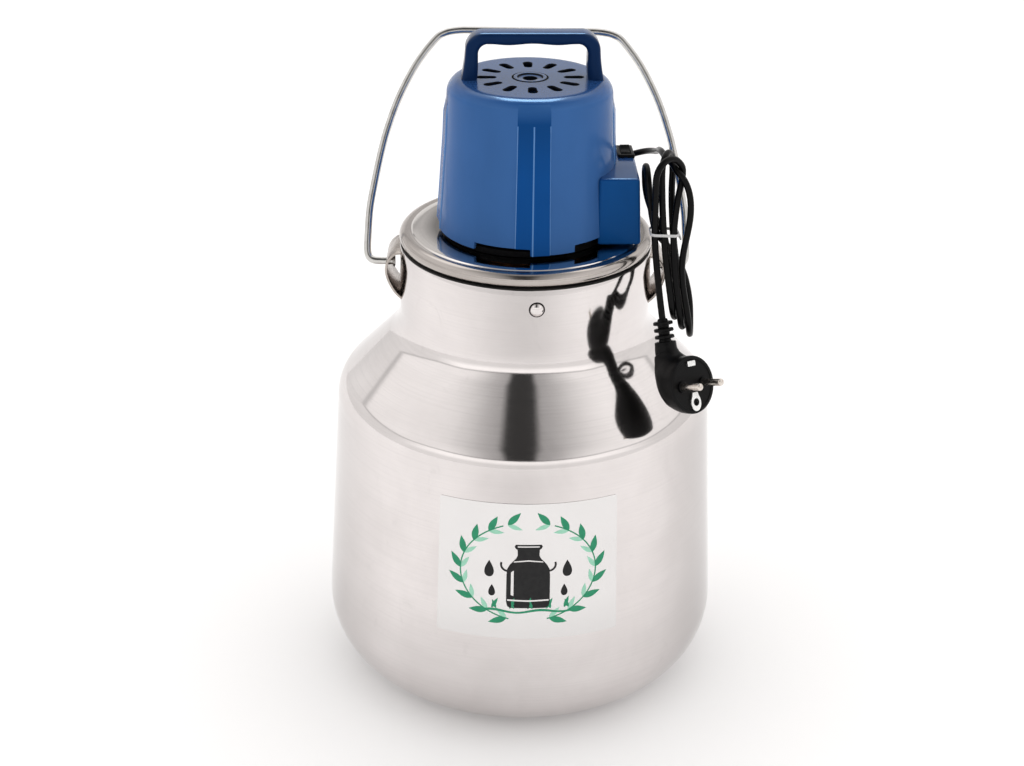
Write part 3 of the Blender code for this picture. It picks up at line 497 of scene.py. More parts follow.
def block_mesh(name, low, high, round_edge, steps=4):
    work = bmesh.new()
    bmesh.ops.create_cube(work, size=1.0)
    bmesh.ops.scale(work, vec=[(h - l) * MM for l, h in zip(low, high)], verts=work.verts)
    bmesh.ops.translate(work, vec=[(h + l) * MM / 2 for l, h in zip(low, high)], verts=work.verts)
    bmesh.ops.bevel(work, geom=list(work.edges), offset=round_edge * MM, segments=steps, profile=0.5, affect="EDGES", clamp_overlap=True)
    mesh = bpy.data.meshes.new(name)
    work.to_mesh(mesh)
    work.free()
    return mesh


def cut(mesh, others, operation="DIFFERENCE"):
    """The mesh after exact Booleans with the other meshes."""
    obj = bpy.data.objects.new("cut_work", mesh)
    scene.collection.objects.link(obj)
    tools = []
    for other in others:
        tool = bpy.data.objects.new("cut_tool", other)
        scene.collection.objects.link(tool)
        tools.append(tool)
        step = obj.modifiers.new("cut", "BOOLEAN")
        step.operation = operation
        step.object = tool
        step.solver = "EXACT"
    bpy.context.view_layer.update()
    graph = bpy.context.evaluated_depsgraph_get()
    made = bpy.data.meshes.new_from_object(obj.evaluated_get(graph))
    for o in [obj] + tools:
        bpy.data.objects.remove(o, do_unlink=True)
    return made


def at(x, y, z):
    return Matrix.Translation(Vector((x, y, z)) * MM)


def along(axis, up=(0, 0, 1)):
    z = Vector(axis).normalized()
    x = Vector(up).cross(z)
    if x.length < 1e-6:
        x = Vector((1, 0, 0))
    x.normalize()
    y = z.cross(x)
    return Matrix((x, y, z)).transposed().to_4x4()


# ------------------------------------------------------------------ can
NECK_R, RIM_Z = 85.5, 318.7
BODY_R, SHOULDER_R, SHOULDER_Z = 142.9, 129.7, 217.0
BODY_SLOPE = (BODY_R - SHOULDER_R) / SHOULDER_Z


def can_side(offset, fine):
    top = (NECK_R - offset, RIM_Z)
    neck = (86.0 - offset, 262.0 - offset * 0.45)
    shoulder = (SHOULDER_R - offset, SHOULDER_Z - offset * 0.45)
    foot = (BODY_R - offset * 1.002 - BODY_SLOPE * offset, offset)
    panel = (79.0, offset)
    side = [(NECK_R - offset, RIM_Z - 0.5)] + [(NECK_R - offset + (86.0 - NECK_R) * t, RIM_Z + (276.0 - RIM_Z) * t) for t in (0.25, 0.5, 0.75)]
    side += corner(top, neck, shoulder, 27.0 + offset, fine)
    side += corner(neck, shoulder, foot, 23.0 - offset, fine)
    last, turn = side[-1], corner(shoulder, foot, panel, 49.0 - offset, fine * 2)
    side += [(last[0] + (turn[0][0] - last[0]) * t, last[1] + (turn[0][1] - last[1]) * t) for t in (0.2, 0.4, 0.6, 0.8)]
    side += turn
    side += corner(turn[-1], panel, (74.0, 2.6 + offset), 4.0, 3) + corner(panel, (74.0, 2.6 + offset), (0.0, 2.6 + offset), 4.0, 3)
    side += [(40.0, 2.6 + offset), (0.0, 2.6 + offset)]
    return side


inner, outer = can_side(1.0, 14), can_side(0.0, 24)
can_mesh = lathe("can_shell", list(reversed(inner)) + [(NECK_R - 0.75, RIM_Z - 0.1), (NECK_R - 0.5, RIM_Z), (NECK_R - 0.25, RIM_Z - 0.1)] + outer, 192, closed=False)
add_object("can_shell", can_mesh, "can", CAN_STEEL, "polished_steel", "can_base", "can_drum", "can_shoulder", "can_neck")

ear_line = [(84.0, 316.0), (88.8, 315.0), (93.4, 310.0), (95.2, 303.0), (93.6, 295.0), (89.2, 286.5), (84.0, 281.0)]
for side, name in ((-1, "ear_left"), (1, "ear_right")):
    path = catmull([(x, z, 0) for x, z in ear_line], 1.2)[:, :2]
    away = np.gradient(path, axis=0)
    away = np.stack([-away[:, 1], away[:, 0]], 1)
    away /= np.linalg.norm(away, axis=1)[:, None]
    if away[len(away) // 2, 0] < 0:
        away = -away
    back = path - away * 1.6
    outline = [(side * x, z) for x, z in path] + [(side * x, z) for x, z in back[::-1]]
    lug = slab_mesh(name, outline, 34.0, 0.45, 2)
    neck_hole = lathe("neck_hole", [(0, 340), (85.05, 340), (85.05, 260), (0, 260)], 160, closed=False)
    eye_hole = lathe("eye_hole", [(0, 8), (3.2, 8), (3.2, -8), (0, -8)], 36, closed=False)
    eye_hole.transform(at(side * 95.0, 0, 303.0) @ along((1, 0, 0)))
    add_object(name + "_lug", cut(lug, [neck_hole, eye_hole]), "can", EAR_STEEL, "polished_steel", name)

rivet_turn = math.radians(5.0)
rivet_way = Vector((math.sin(rivet_turn), -math.cos(rivet_turn), 0))
dome = [(0.0, 3.0)] + [(4.5 * math.sin(math.radians(a)), 0.2 + 2.8 * math.cos(math.radians(a))) for a in range(8, 90, 8)] + [(4.6, 0.2), (4.7, -0.3), (0.0, -0.3)]
rivet_place = Matrix.Translation(rivet_way * (NECK_R + 0.1) * MM + Vector((0, 0, 305.5 * MM))) @ along(rivet_way)
add_object("rivet_dome", lathe("rivet_dome", dome, 48, closed=False), "can", STEEL, "polished_steel", "neck_rivet", place=rivet_place, smooth=50)
# painted shade: a thin dark ring flush on the neck round the rivet, for the shaded crevice at its edge
add_object("rivet_shade_ring", lathe("rivet_shade_ring", softened([(4.72, 0.3), (5.25, 0.16), (5.25, -0.3), (4.72, -0.3)], 0.06, 2), 48), "can", CAST, "black_rubber", place=rivet_place, smooth=50)

# ------------------------------------------------------------------ label: clear film with a printed design
LABEL_MIDDLE, LABEL_Z = 2.0, 138.0


def on_wall(u, v, proud):
    """A place on the body's tapered wall: mm to the right of and above the label's middle."""
    z = LABEL_Z + v
    turn = math.radians(LABEL_MIDDLE) + u / (BODY_R - BODY_SLOPE * LABEL_Z)
    r = BODY_R - BODY_SLOPE * z + proud
    return (r * math.sin(turn), -r * math.cos(turn), z)


def wall_patch(name, shapes, low, high):
    """Flat outlines (mm) wrapped on the wall as thin closed solids between two heights over it."""
    mesh_all = bmesh.new()
    for shape in shapes:
        flat = bmesh.new()
        flat.faces.new([flat.verts.new((u, v, 0)) for u, v in shape])
        span = [u for u, _ in shape]
        place = math.floor(min(span) / 4) * 4 + 4
        while place < max(span):
            bmesh.ops.bisect_plane(flat, geom=list(flat.verts) + list(flat.edges) + list(flat.faces), plane_co=(place, 0, 0), plane_no=(1, 0, 0), dist=1e-6)
            place += 4
        bmesh.ops.triangulate(flat, faces=[f for f in flat.faces if len(f.verts) > 4])
        boundary = [e for e in flat.edges if len(e.link_faces) == 1]
        lows, highs = {}, {}
        for v in flat.verts:
            lows[v] = mesh_all.verts.new(tuple(c * MM for c in on_wall(v.co.x, v.co.y, low)))
            highs[v] = mesh_all.verts.new(tuple(c * MM for c in on_wall(v.co.x, v.co.y, high)))
        for f in flat.faces:
            mesh_all.faces.new([highs[v] for v in f.verts])
            mesh_all.faces.new([lows[v] for v in reversed(f.verts)])
        for e in boundary:
            a, b = e.verts
            mesh_all.faces.new((highs[a], highs[b], lows[b], lows[a]))
        flat.free()
    bmesh.ops.recalc_face_normals(mesh_all, faces=mesh_all.faces)
    mesh = bpy.data.meshes.new(name)
    mesh_all.to_mesh(mesh)
    mesh_all.free()
    return mesh


def rounded_box(w, h, r, steps=8):
    return [p for cx, cy, a in ((w / 2 - r, h / 2 - r, 0), (-w / 2 + r, h / 2 - r, 90), (-w / 2 + r, -h / 2 + r, 180), (w / 2 - r, -h / 2 + r, 270)) for p in arc(cx, cy, r, a, a + 90, steps)]


film_g = Graph("label_film")
film_g.set(Metallic=0.92)
film_cloud = film_g.noise(film_g.mapped((1, 1, 1)), 30.0, 3.0, 0.5)
film_tone = film_g.ramp(film_cloud, [(0.3, (0.752, 0.738, 0.732)), (0.7, (0.772, 0.758, 0.752))])
# painted reflection: the film's tone darkens towards the bottom, below 116 mm, as the can's steel does
film_g.base(film_g.mix(film_g.remap(film_g.split().outputs["Z"], 0.24, 0.0, 0.066, 0.116), film_tone, (0.37, 0.36, 0.355)))
film_g.roughness(film_g.remap(film_cloud, 0.22, 0.25))
film_g.normal(film_g.bump(film_cloud, 0.000015))
FILM = film_g.mat


def ink(name, dark, light):
    g = Graph(name)
    g.set(Coat_Weight=0.04, Coat_Roughness=0.2, Specular_IOR_Level=0.2)
    cloud = g.noise(g.mapped((1, 1, 1)), 260.0, 4.0, 0.6)
    g.base(g.ramp(cloud, [(0.3, dark), (0.7, light)]))
    g.roughness(g.remap(cloud, 0.32, 0.42))
    g.normal(g.bump(cloud, 0.00001))
    return g.mat


GREEN_INK = ink("green_ink", (0.020, 0.235, 0.120), (0.030, 0.290, 0.150))
PALE_INK = ink("pale_green_ink", (0.30, 0.62, 0.46), (0.36, 0.68, 0.52))
BLACK_INK = ink("black_ink", (0.008, 0.008, 0.009), (0.016, 0.016, 0.016))

add_object("label_sheet", wall_patch("label_sheet", [rounded_box(122.4, 100.0, 1.5, 3)], 0.06, 0.36), "can", FILM, "label_print", "label_film", smooth=30)


def leaf(x, y, length, width, angle):
    c, s = math.cos(math.radians(angle)), math.sin(math.radians(angle))
    half = [(length * t, width / 2 * math.sin(math.pi * t**0.8)) for t in [i / 14 for i in range(15)]]
    line = half + [(a, -b) for a, b in reversed(half[1:-1])]
    return [(x + a * c - b * s, y + a * s + b * c) for a, b in line]


def ring_piece(rx, ry, width, start, end, steps=40):
    outside = [(rx * math.cos(math.radians(start + (end - start) * i / steps)), ry * math.sin(math.radians(start + (end - start) * i / steps))) for i in range(steps + 1)]
    inside = [((rx - width) * math.cos(math.radians(start + (end - start) * i / steps)), (ry - width) * math.sin(math.radians(start + (end - start) * i / steps))) for i in range(steps + 1)]
    quads = []
    for i in range(steps):
        quads.append([outside[i], outside[i + 1], inside[i + 1], inside[i]])
    return quads


# An oval ring of leaf sprays round a plain churn and its drops.
green, pale, black = [], [], []
for sign in (-1, 1):
    for i in range(9):
        t = math.radians(-72 + 18 * i)
        px, py = sign * 45.5 * math.cos(t), 36.5 * math.sin(t)
        tangent = math.degrees(math.atan2(36.5 * math.cos(t), -sign * 45.5 * math.sin(t)))
        green.append(leaf(px, py, 12.5, 4.6, tangent - sign * 32))
        pale.append(leaf(px, py, 10.5, 3.2, tangent + sign * 34))
    green += ring_piece(46.0, 37.0, 0.9, 90 - sign * 164, 90 - sign * 22, 48)
for i in range(5):
    x = -24 + 12 * i
    green.append(leaf(x, -27.5, 9.0, 2.6, 62 + 8 * (i % 3)))
    green.append(leaf(x + 3, -27.5, 7.0, 2.2, 112 - 6 * (i % 2)))
green.append([(-31 + 62 * i / 24, -28.6 + 1.1 * math.sin(i * 0.52)) for i in range(25)] + [(31 - 62 * i / 24, -30.2 + 0.9 * math.sin((24 - i) * 0.52)) for i in range(25)])


def churn_half():
    return [(0, 20.5), (8.6, 20.5), (9.3, 19.2), (8.6, 17.6), (7.4, 16.8), (7.2, 12.6), (8.2, 10.4), (12.2, 5.8), (14.0, 2.4), (14.4, -2.0), (14.4, -22.0), (13.6, -25.6), (11.6, -26.8), (0, -26.8)]


def mirrored(half, x):
    return [(x + a, b) for a, b in half] + [(x - a, b) for a, b in reversed(half[1:-1])]


black.append(mirrored(churn_half(), 0.0))
for sign in (-1, 1):
    grip = arc(sign * 13.4, 5.6, 5.4, 90 - sign * 70, 90 - sign * 205, 14)
    grip_in = arc(sign * 13.4, 5.6, 4.0, 90 - sign * 70, 90 - sign * 205, 14)
    for i in range(14):
        black.append([grip[i], grip[i + 1], grip_in[i + 1], grip_in[i]])


def drop(x, y, size):
    line = [(x + size * 0.5 * math.sin(a) * (math.sin(a / 2)) ** 1.1, y + size * 0.72 * math.cos(a)) for a in [2 * math.pi * i / 28 for i in range(28)]]
    return line


for x, y, size in ((-26.0, 2.0, 8.5), (26.0, 2.0, 8.5), (-24.0, -14.0, 6.0), (24.0, -14.0, 6.0)):
    black.append(drop(x, y, size))
add_object("label_green", wall_patch("label_green", green, 0.38, 0.44), "can", GREEN_INK, "label_print", smooth=30)
add_object("label_pale", wall_patch("label_pale", pale, 0.38, 0.42), "can", PALE_INK, "label_print", smooth=30)
add_object("label_black", wall_patch("label_black", black, 0.38, 0.45), "can", BLACK_INK, "label_print", smooth=30)
shine = [mirrored([(0, 9.2), (9.4, 8.2), (9.9, 7.4), (0, 8.3)], 0.0), mirrored([(0, -20.8), (13.6, -20.3), (13.6, -21.4), (0, -21.9)], 0.0), [(-11.4, 0.0), (-9.6, 1.4), (-9.6, -17.6), (-11.4, -17.0)], [(7.2, 19.4), (-7.2, 19.4), (-7.2, 18.6), (7.2, 18.6)]]
add_object("label_shine", wall_patch("label_shine", shine, 0.46, 0.49), "can", FILM, "label_print", smooth=30)

# ------------------------------------------------------------------ bail
bail_half = [(90.0, 0.0), (96.0, 0.0), (100.0, 0.0), (105.2, 0.5), (108.2, 3.2), (109.2, 8.6), (109.1, 20.0), (108.4, 37.0), (106.0, 54.0), (101.8, 78.0), (97.6, 96.0), (90.2, 119.0), (79.0, 143.0), (66.5, 161.2), (59.5, 166.6), (50.0, 168.7), (40.0, 169.0), (20.0, 169.0)]
wire_line = catmull([(-x, 0, z) for x, z in bail_half] + [(0, 0, 169.0)] + [(x, 0, z) for x, z in reversed(bail_half)], 1.6)
bail_place = at(0.8, 0, 303.0) @ Matrix.Rotation(math.radians(-38.0), 4, "X")
bail = add_object("bail_wire", tube_mesh("bail_wire", wire_line, 2.5, 20), "bail", WIRE, "bright_wire", "bail_handle", place=bail_place, smooth=60)
for side, name in ((-1, "bail_end_left"), (1, "bail_end_right")):
    head_mesh = lathe(name, [(0.0, 0.9)] + arc(3.0, 0.0, 0.9, 90, -90, 6) + [(0.0, -0.9)], 28, closed=False)
    add_object(name, head_mesh, "bail", WIRE, "bright_wire", place=bail_place @ at(side * 90.6, 0, 0) @ along((1, 0, 0)), smooth=50)

# ------------------------------------------------------------------ lid
bead = [(80.4 + 5.5 * math.cos(math.radians(a)), 324.3 + 5.0 * math.sin(math.radians(a))) for a in range(96, -86, -7)]
lid_profile = [(20.3, 329.6), (52.0, 329.6), (60.0, 329.6), (72.0, 329.6), (76.6, 329.6), (77.1, 329.45), (77.5, 329.05), (78.0, 328.9), (78.9, 329.1)] + bead + [(80.2, 319.45), (80.0, 319.2), (80.0, 314.0), (80.0, 306.4), (79.6, 306.0), (79.0, 306.1), (78.8, 306.5), (78.8, 326.6), (77.0, 328.4), (20.3, 328.4)]
lid_mesh = lathe("lid_cover", lid_profile, 192)
bolt_ways = []
for i in range(4):
    turn = math.radians(45 + 90 * i + 3)
    hole = lathe("bolt_hole", [(0, 340), (2.3, 340), (2.3, 320), (0, 320)], 20, closed=False)
    hole.transform(at(45.0 * math.cos(turn), 45.0 * math.sin(turn), 0))
    bolt_ways.append(hole)
lid_mesh = cut(lid_mesh, bolt_ways)
on_bead = [1 if math.hypot(p.center.x, p.center.y) > 0.0784 and p.center.z > 0.3192 else 0 for p in lid_mesh.polygons]
lid = add_object("lid_cover", lid_mesh, "head", LID_STEEL, "polished_steel", "lid")
lid.data.materials.append(BEAD_STEEL)
lid.data.polygons.foreach_set("material_index", on_bead)
add_object("rim_seal", lathe("rim_seal", softened([(80.3, 319.15), (85.2, 319.15), (85.2, 318.8), (84.2, 318.8), (84.2, 312.0), (80.3, 312.0)], 0.25), 160), "head", RUBBER, "black_rubber", "lid_gasket")

# ------------------------------------------------------------------ motor cover
COVER_ROWS = [(60.8, 330.2), (59.6, 345.6), (58.5, 361.0), (57.4, 378.5), (56.2, 396.0), (55.55, 412.0), (54.76, 425.05)]


def cover_radius(z):
    zs = [r[1] for r in COVER_ROWS]
    return float(np.interp(z, zs, [r[0] for r in COVER_ROWS]))


def rib_rise(turn, z):
    """How far the cover stands out at a rib: two flat strips with steep sides, and a fine bead where they meet."""
    quarter = (turn + math.pi / 4) % (math.pi / 2) - math.pi / 4
    u = abs(quarter) * 60.0
    if u >= 11.7:
        return 0.0
    part = min(1.0, u / 11.0)
    strip = 1.15 - 0.5 * part - 0.22 * (1 - (2 * part - 1) ** 2)
    side = min(1.0, (11.7 - u) / 0.7)
    bead = 0.22 * max(0.0, 1 - (u / 0.6) ** 2)
    fade = min(1.0, max(0.0, (421.0 - z) / 9.0))
    return (strip * side + bead) * fade


NOTCH_MIDDLES = [math.radians(a - 90.0) for a in (-20.0, 46.0, 118.0, 190.0, 262.0)]


def notch_lift(turn):
    best = 0.0
    for middle in NOTCH_MIDDLES:
        away = abs((turn - middle + math.pi) % (2 * math.pi) - math.pi) * 61.0
        half = math.radians(18.5) * 61.0
        best = max(best, min(1.0, max(0.0, (half - away) / 0.35 + 0.5)))
    return 4.6 * best


turns = set(round(i * math.pi / 120, 5) for i in range(240))
for q in range(4):
    for u in (0.0, 0.2, 0.4, 0.6, 2.2, 4.4, 6.6, 8.8, 10.6, 10.8, 11.0, 11.7, 11.9):
        for sign in (-1, 1):
            turns.add(round((q * math.pi / 2 + sign * u / 60.0) % (2 * math.pi), 5))
for middle in NOTCH_MIDDLES:
    for sign in (-1, 1):
        for u in (-0.6, -0.18, 0.18, 0.6):
            turns.add(round((middle + sign * (math.radians(18.5) + u / 61.0)) % (2 * math.pi), 5))
turns = sorted(turns)
kept = [turns[0]]
for t in turns[1:]:
    if t - kept[-1] > 0.0022:
        kept.append(t)
turns = kept
edge_arc = arc(45.0, 424.2, 9.8, 90, 5, 18)
columns = []
for t in turns:
    low = 332.4 + notch_lift(t)
    column = [(11.9, 430.0), (11.9, 433.7), (12.2, 434.0), (16.0, 434.0), (21.0, 434.0), (28.0, 434.0), (36.0, 434.0), (41.0, 434.0), (44.0, 434.0)] + edge_arc
    for z in (422.6, 421.0, 420.2, 420.0, 418.2, 418.0, 416.0, 412.0, 404.0, 396.0, 387.0, 378.0, 369.0, 360.0, 351.0, 345.0):
        column.append((cover_radius(z) + rib_rise(t, z), z))
    for part in (0.55, 0.25, 0.08):
        z = low + (345.0 - low) * part
        column.append((cover_radius(z) + rib_rise(t, z), z))
    r_low = cover_radius(low) + rib_rise(t, low)
    column += [(r_low, low + 0.4), (r_low - 0.12, low + 0.12), (r_low - 0.4, low)]
    column += [(cover_radius(low) - 2.2, low), (cover_radius(345.0) - 2.2, 345.0), (54.0, 396.0), (52.5, 423.5), (51.4, 427.8), (48.8, 430.8), (45.0, 431.8), (30.0, 431.8), (16.3, 431.8), (16.3, 417.0), (13.3, 417.0), (13.3, 430.0)]
    columns.append(column)
verts, faces = [], []
high = len(columns[0])
for t, column in zip(turns, columns):
    verts += [(r * math.cos(t), r * math.sin(t), z) for r, z in column]
for i in range(len(columns)):
    k = (i + 1) % len(columns)
    for j in range(high):
        m = (j + 1) % high
        faces.append((i * high + j, k * high + j, k * high + m, i * high + m))
cover_mesh = mesh_of("motor_cover", verts, faces)


def slot_tool(turn):
    """A radial slot with a small chamfer at its top."""
    rings = []
    for z, grow in ((425.0, 0.0), (433.3, 0.0), (434.3, 0.75)):
        reach = 2.8 + grow
        rings.append([(x, y, z) for x, y in arc(32.2, 0, reach, -90, 90, 10) + arc(24.8, 0, reach * 0.86, 90, 270, 10)])
    verts = [p for ring in rings for p in ring]
    n = len(rings[0])
    faces = [tuple(range(n)), tuple(2 * n + i for i in range(n))]
    for a in range(2):
        faces += [(a * n + i, a * n + (i + 1) % n, (a + 1) * n + (i + 1) % n, (a + 1) * n + i) for i in range(n)]
    mesh = mesh_of("slot_tool", verts, faces)
    mesh.transform(Matrix.Rotation(math.radians(turn), 4, "Z"))
    return mesh


cover_mesh = cut(cover_mesh, [slot_tool(30 * i) for i in range(12)])
# face tones: slot walls near-black (painted shade), rib strips darker (painted shade), rib sides and bead lighter
# (painted highlight)
tones = []
for polygon in cover_mesh.polygons:
    x, y, z = polygon.center / MM
    quarter = (math.atan2(y, x) + math.pi / 4) % (math.pi / 2) - math.pi / 4
    u = abs(quarter) * 60.0
    r = math.hypot(x, y)
    on_rib = 330 < z < 431.6 and u < 11.72 and r > 48.0 and (z > 424.9 or r > cover_radius(z) - 0.9)
    in_slot = 424.0 < z < 433.97 and polygon.normal.z < 0.93 and (20.5 < r < 36.5 or r < 12.3)
    if in_slot:
        tones.append(3)
    elif on_rib:
        tones.append(2 if z < 419.0 and (u < 0.5 or u > 10.99) else 1)
    else:
        tones.append(0)
cover = add_object("motor_cover", cover_mesh, "head", BLUE, "blue_moulding", "motor_housing", place=COVER, smooth=24)
cover.data.materials.append(BLUE_STRIP)
cover.data.materials.append(BLUE_EDGE_HIGHLIGHT)
cover.data.materials.append(SLOT)
cover.data.polygons.foreach_set("material_index", tones)

cap_profile = softened([(4.6, 433.3), (8.0, 433.3), (8.6, 434.3), (10.9, 434.3), (11.5, 433.6), (11.5, 430.3), (4.6, 430.3)], 0.4, 3)
ring_mesh = lathe("bearing_ring", cap_profile, 64)
# painted shade: the bore and the grooves take the near-black slot material
ring_tones = []
for polygon in ring_mesh.polygons:
    r = math.hypot(polygon.center.x, polygon.center.y) / MM
    ring_tones.append(1 if r < 5.1 or 7.8 < r < 8.7 or r > 10.8 else 0)
ring = add_object("bearing_ring", ring_mesh, "head", BLUE, "blue_moulding", "bearing_cap", place=COVER)
ring.data.materials.append(SLOT)
ring.data.polygons.foreach_set("material_index", ring_tones)


def handle_outline():
    out, inn, top, under = 43.9, 35.6, 465.0, 457.5
    right = [tuple(p) for p in catmull([(out + 3.6, 429.0, 0), (out + 2.7, 434.0, 0), (out + 1.5, 440.0, 0), (out + 0.5, 447.0, 0), (out, 453.0, 0)], 1.6)[:, :2]]
    right += arc(out - 12.0, top - 12.0, 12.0, 4, 90, 16)
    left = [(-x, z) for x, z in reversed(right)]
    inside = [tuple(p) for p in catmull([(-inn - 0.9, 429.0, 0), (-inn - 0.4, 435.0, 0), (-inn, 441.0, 0), (-inn, 448.0, 0)], 1.6)[:, :2]]
    inside += arc(-inn + 6.5, under - 6.5, 6.5, 176, 97, 10)
    turn_back = list(inside)
    inside += [(x, under - 0.25 + 0.5 * math.cos(2 * math.pi * x / 32.0)) for x in range(-25, 26)]
    inside += [(-x, z) for x, z in reversed(turn_back)]
    return right + left + inside


grip = add_object("carry_grip", rounded_slab("carry_grip", handle_outline(), 16.0, 3.2), "head", BLUE_GRIP, "blue_moulding", "carry_handle", place=GRIP, smooth=40)

box_mesh = block_mesh("side_box", (45.0, -39.9, 331.4), (73.0, 24.7, 377.5), 2.2, 5)
for v in box_mesh.vertices:
    if v.co.x > 0.06:
        v.co.x += 0.0024 * (0.3775 - v.co.z) / 0.0461 - 0.0014 * (0.0247 - v.co.y) / 0.0646
cover_core = lathe("cover_core", [(0, 440.0), (54.6, 440.0), (55.2, 396.0), (57.4, 361.0), (59.8, 325.0), (0, 325.0)], 128, closed=False)
cover_core.transform(at(1.1, 0, 0))
box_mesh = cut(box_mesh, [cover_core])
side_box = add_object("side_box", box_mesh, "head", BLUE_BOX, "blue_moulding", "switch_box", place=HEAD, smooth=26)

# ------------------------------------------------------------------ switch
sx, sy = 66.85, 12.2
bezel_mesh = block_mesh("switch_frame", (sx - 5.55, sy - 10.25, 376.9), (sx + 5.55, sy + 10.25, 379.7), 0.7, 3)
well = block_mesh("switch_well", (sx - 3.6, sy - 8.5, 370.0), (sx + 3.6, sy + 8.5, 390.0), 0.3, 2)
add_object("switch_frame", cut(bezel_mesh, [well]), "head", BLACK, "black_moulding", "switch_bezel", place=HEAD)
rocker_outline = arc(0, 0, 8.1, -38, 40, 16) + catmull([(5.2, 5.6, 0), (2.6, 4.3, 0), (0.0, 3.8, 0), (-2.6, 4.3, 0), (-5.2, 5.6, 0)], 0.8)[:, :2].tolist() + arc(0, 0, 8.1, 140, 218, 16)
rocker_mesh = slab_mesh("rocker_key", [(y, z) for y, z in rocker_outline], 6.5, 0.5, 3)
rocker_place = HEAD @ at(sx, sy, 375.5) @ Matrix.Rotation(math.radians(10.0), 4, "X") @ Matrix.Rotation(math.radians(90.0), 4, "Z")
add_object("rocker_key", rocker_mesh, "rocker", BLACK, "black_moulding", "switch_rocker", place=rocker_place)

# ------------------------------------------------------------------ mains lead
CORD_R = 2.2
GLAND_X, GLAND_Z, BOX_BACK, GLAND_LENGTH = 62.6, 350.5, 24.7, 22.0
gland_profile = [(0.0, GLAND_LENGTH)] + [(2.6, GLAND_LENGTH), (2.95, GLAND_LENGTH - 0.4)]
for i in range(6):
    z = GLAND_LENGTH - 1.0 - 2.7 * i
    r = 3.0 + 0.22 * i
    gland_profile += [(r, z), (r + 0.05, z - 1.5), (r - 0.45, z - 1.75), (r - 0.42, z - 2.45)]
gland_profile += [(4.6, 4.4), (4.8, 3.2), (5.3, 2.8), (5.4, 2.5), (5.4, 0.3), (4.0, 0.3), (4.0, -6.0), (0.0, -6.0)]
gland_place = HEAD @ at(GLAND_X, BOX_BACK, GLAND_Z) @ along((0, 1, 0))
gland = add_object("lead_gland", lathe("lead_gland", gland_profile, 40, closed=False), "head", RUBBER, "black_rubber", "cord_gland", place=gland_place, smooth=40)


def hank_y(z):
    return -44.0 + 0.158 * (z - 342.6)


exit_point = HEAD @ (Vector((GLAND_X, BOX_BACK + GLAND_LENGTH - 0.5, GLAND_Z)) * MM)
start = np.array(exit_point) / MM
route = [
    tuple(start),
    tuple(start + np.array([-0.3, 6.5, 0.1])),
    (62.4, 65.6, 352.0),
    (69.8, 73.2, 354.8),
    (79.2, 72.8, 358.4),
    (86.8, 65.2, 362.5),
    (90.0, 53.6, 366.0),
    (90.2, 38.0, 372.0),
    (89.4, 20.0, 378.6),
    (88.6, 2.0, 384.4),
    (88.8, -11.0, 388.2),
    (90.8, -22.0, 390.8),
    (94.8, -31.0, 391.0),
]


def lean(points):
    """Hank places, given as mm across, mm in front of (-) or behind the leaning middle plane, and height."""
    return [(x, hank_y(z) + v, z) for x, v, z in points]


# the loose turn on the right, which goes under the tie and down to the longest bight
route += lean([(100.2, 1.0, 387.4), (104.8, 0.0, 379.5), (107.6, -0.5, 369.0), (108.9, -1.0, 358.5), (108.3, -1.5, 349.5), (105.8, -2.0, 342.2), (102.6, -2.8, 336.6), (100.4, -4.0, 330.5), (100.0, -6.0, 322.0), (102.2, -8.8, 312.0), (105.4, -11.2, 301.0), (108.0, -12.4, 289.5), (109.6, -8.8, 276.0), (110.0, 0.0, 271.5), (110.4, 8.8, 276.0), (111.2, 12.6, 288.0), (109.4, 12.5, 303.0), (104.9, 11.0, 317.0), (94.4, 8.5, 331.0), (86.3, 5.0, 340.0), (83.6, 2.6, 345.0)])
# up behind the box's edge and back
route += lean([(81.4, 3.5, 356.0), (79.2, 4.5, 370.0), (78.2, 7.5, 381.0), (77.8, 14.0, 386.5), (77.8, 22.0, 384.5), (77.9, 27.0, 377.0), (78.2, 28.0, 367.0), (79.2, 23.0, 356.5), (82.2, 14.0, 349.5), (86.2, 7.0, 346.5), (89.6, 3.0, 343.0)])
route += lean([(90.8, 5.5, 334.0), (94.8, 9.5, 322.0), (98.0, 12.2, 310.0), (100.6, 12.4, 301.0), (101.2, 8.6, 287.4), (100.0, 0.0, 282.8), (98.6, -8.6, 287.4), (96.8, -12.4, 300.0), (93.6, -11.6, 314.0), (90.8, -8.0, 328.0), (89.8, -2.8, 344.0)])
route += lean([(88.4, -2.9, 356.0), (87.0, -3.0, 370.0), (87.5, -2.0, 384.0), (89.0, 3.0, 396.5), (91.5, 10.0, 400.0), (93.8, 17.0, 394.0), (94.8, 18.0, 379.0), (94.6, 13.0, 366.0), (95.4, 7.0, 354.0), (96.0, 2.6, 344.0)])
route += lean([(96.6, 5.5, 334.0), (99.8, 9.0, 323.0), (102.9, 11.8, 311.0), (105.6, 12.4, 299.0), (106.6, 8.8, 281.0), (105.2, 0.0, 276.4), (103.8, -8.8, 281.0), (101.9, -12.4, 294.0), (98.6, -11.6, 309.0), (96.0, -8.0, 326.0), (96.0, -2.8, 344.0)])
route += lean([(96.6, -2.0, 353.0), (97.6, 0.0, 362.0), (98.8, 2.0, 373.0), (99.2, 3.0, 384.0), (97.8, 1.0, 393.5), (93.6, -3.5, 399.5), (88.4, -8.0, 398.5), (84.8, -10.5, 390.5), (83.4, -9.0, 375.0), (83.2, -5.5, 358.0), (83.5, -2.8, 344.0)])

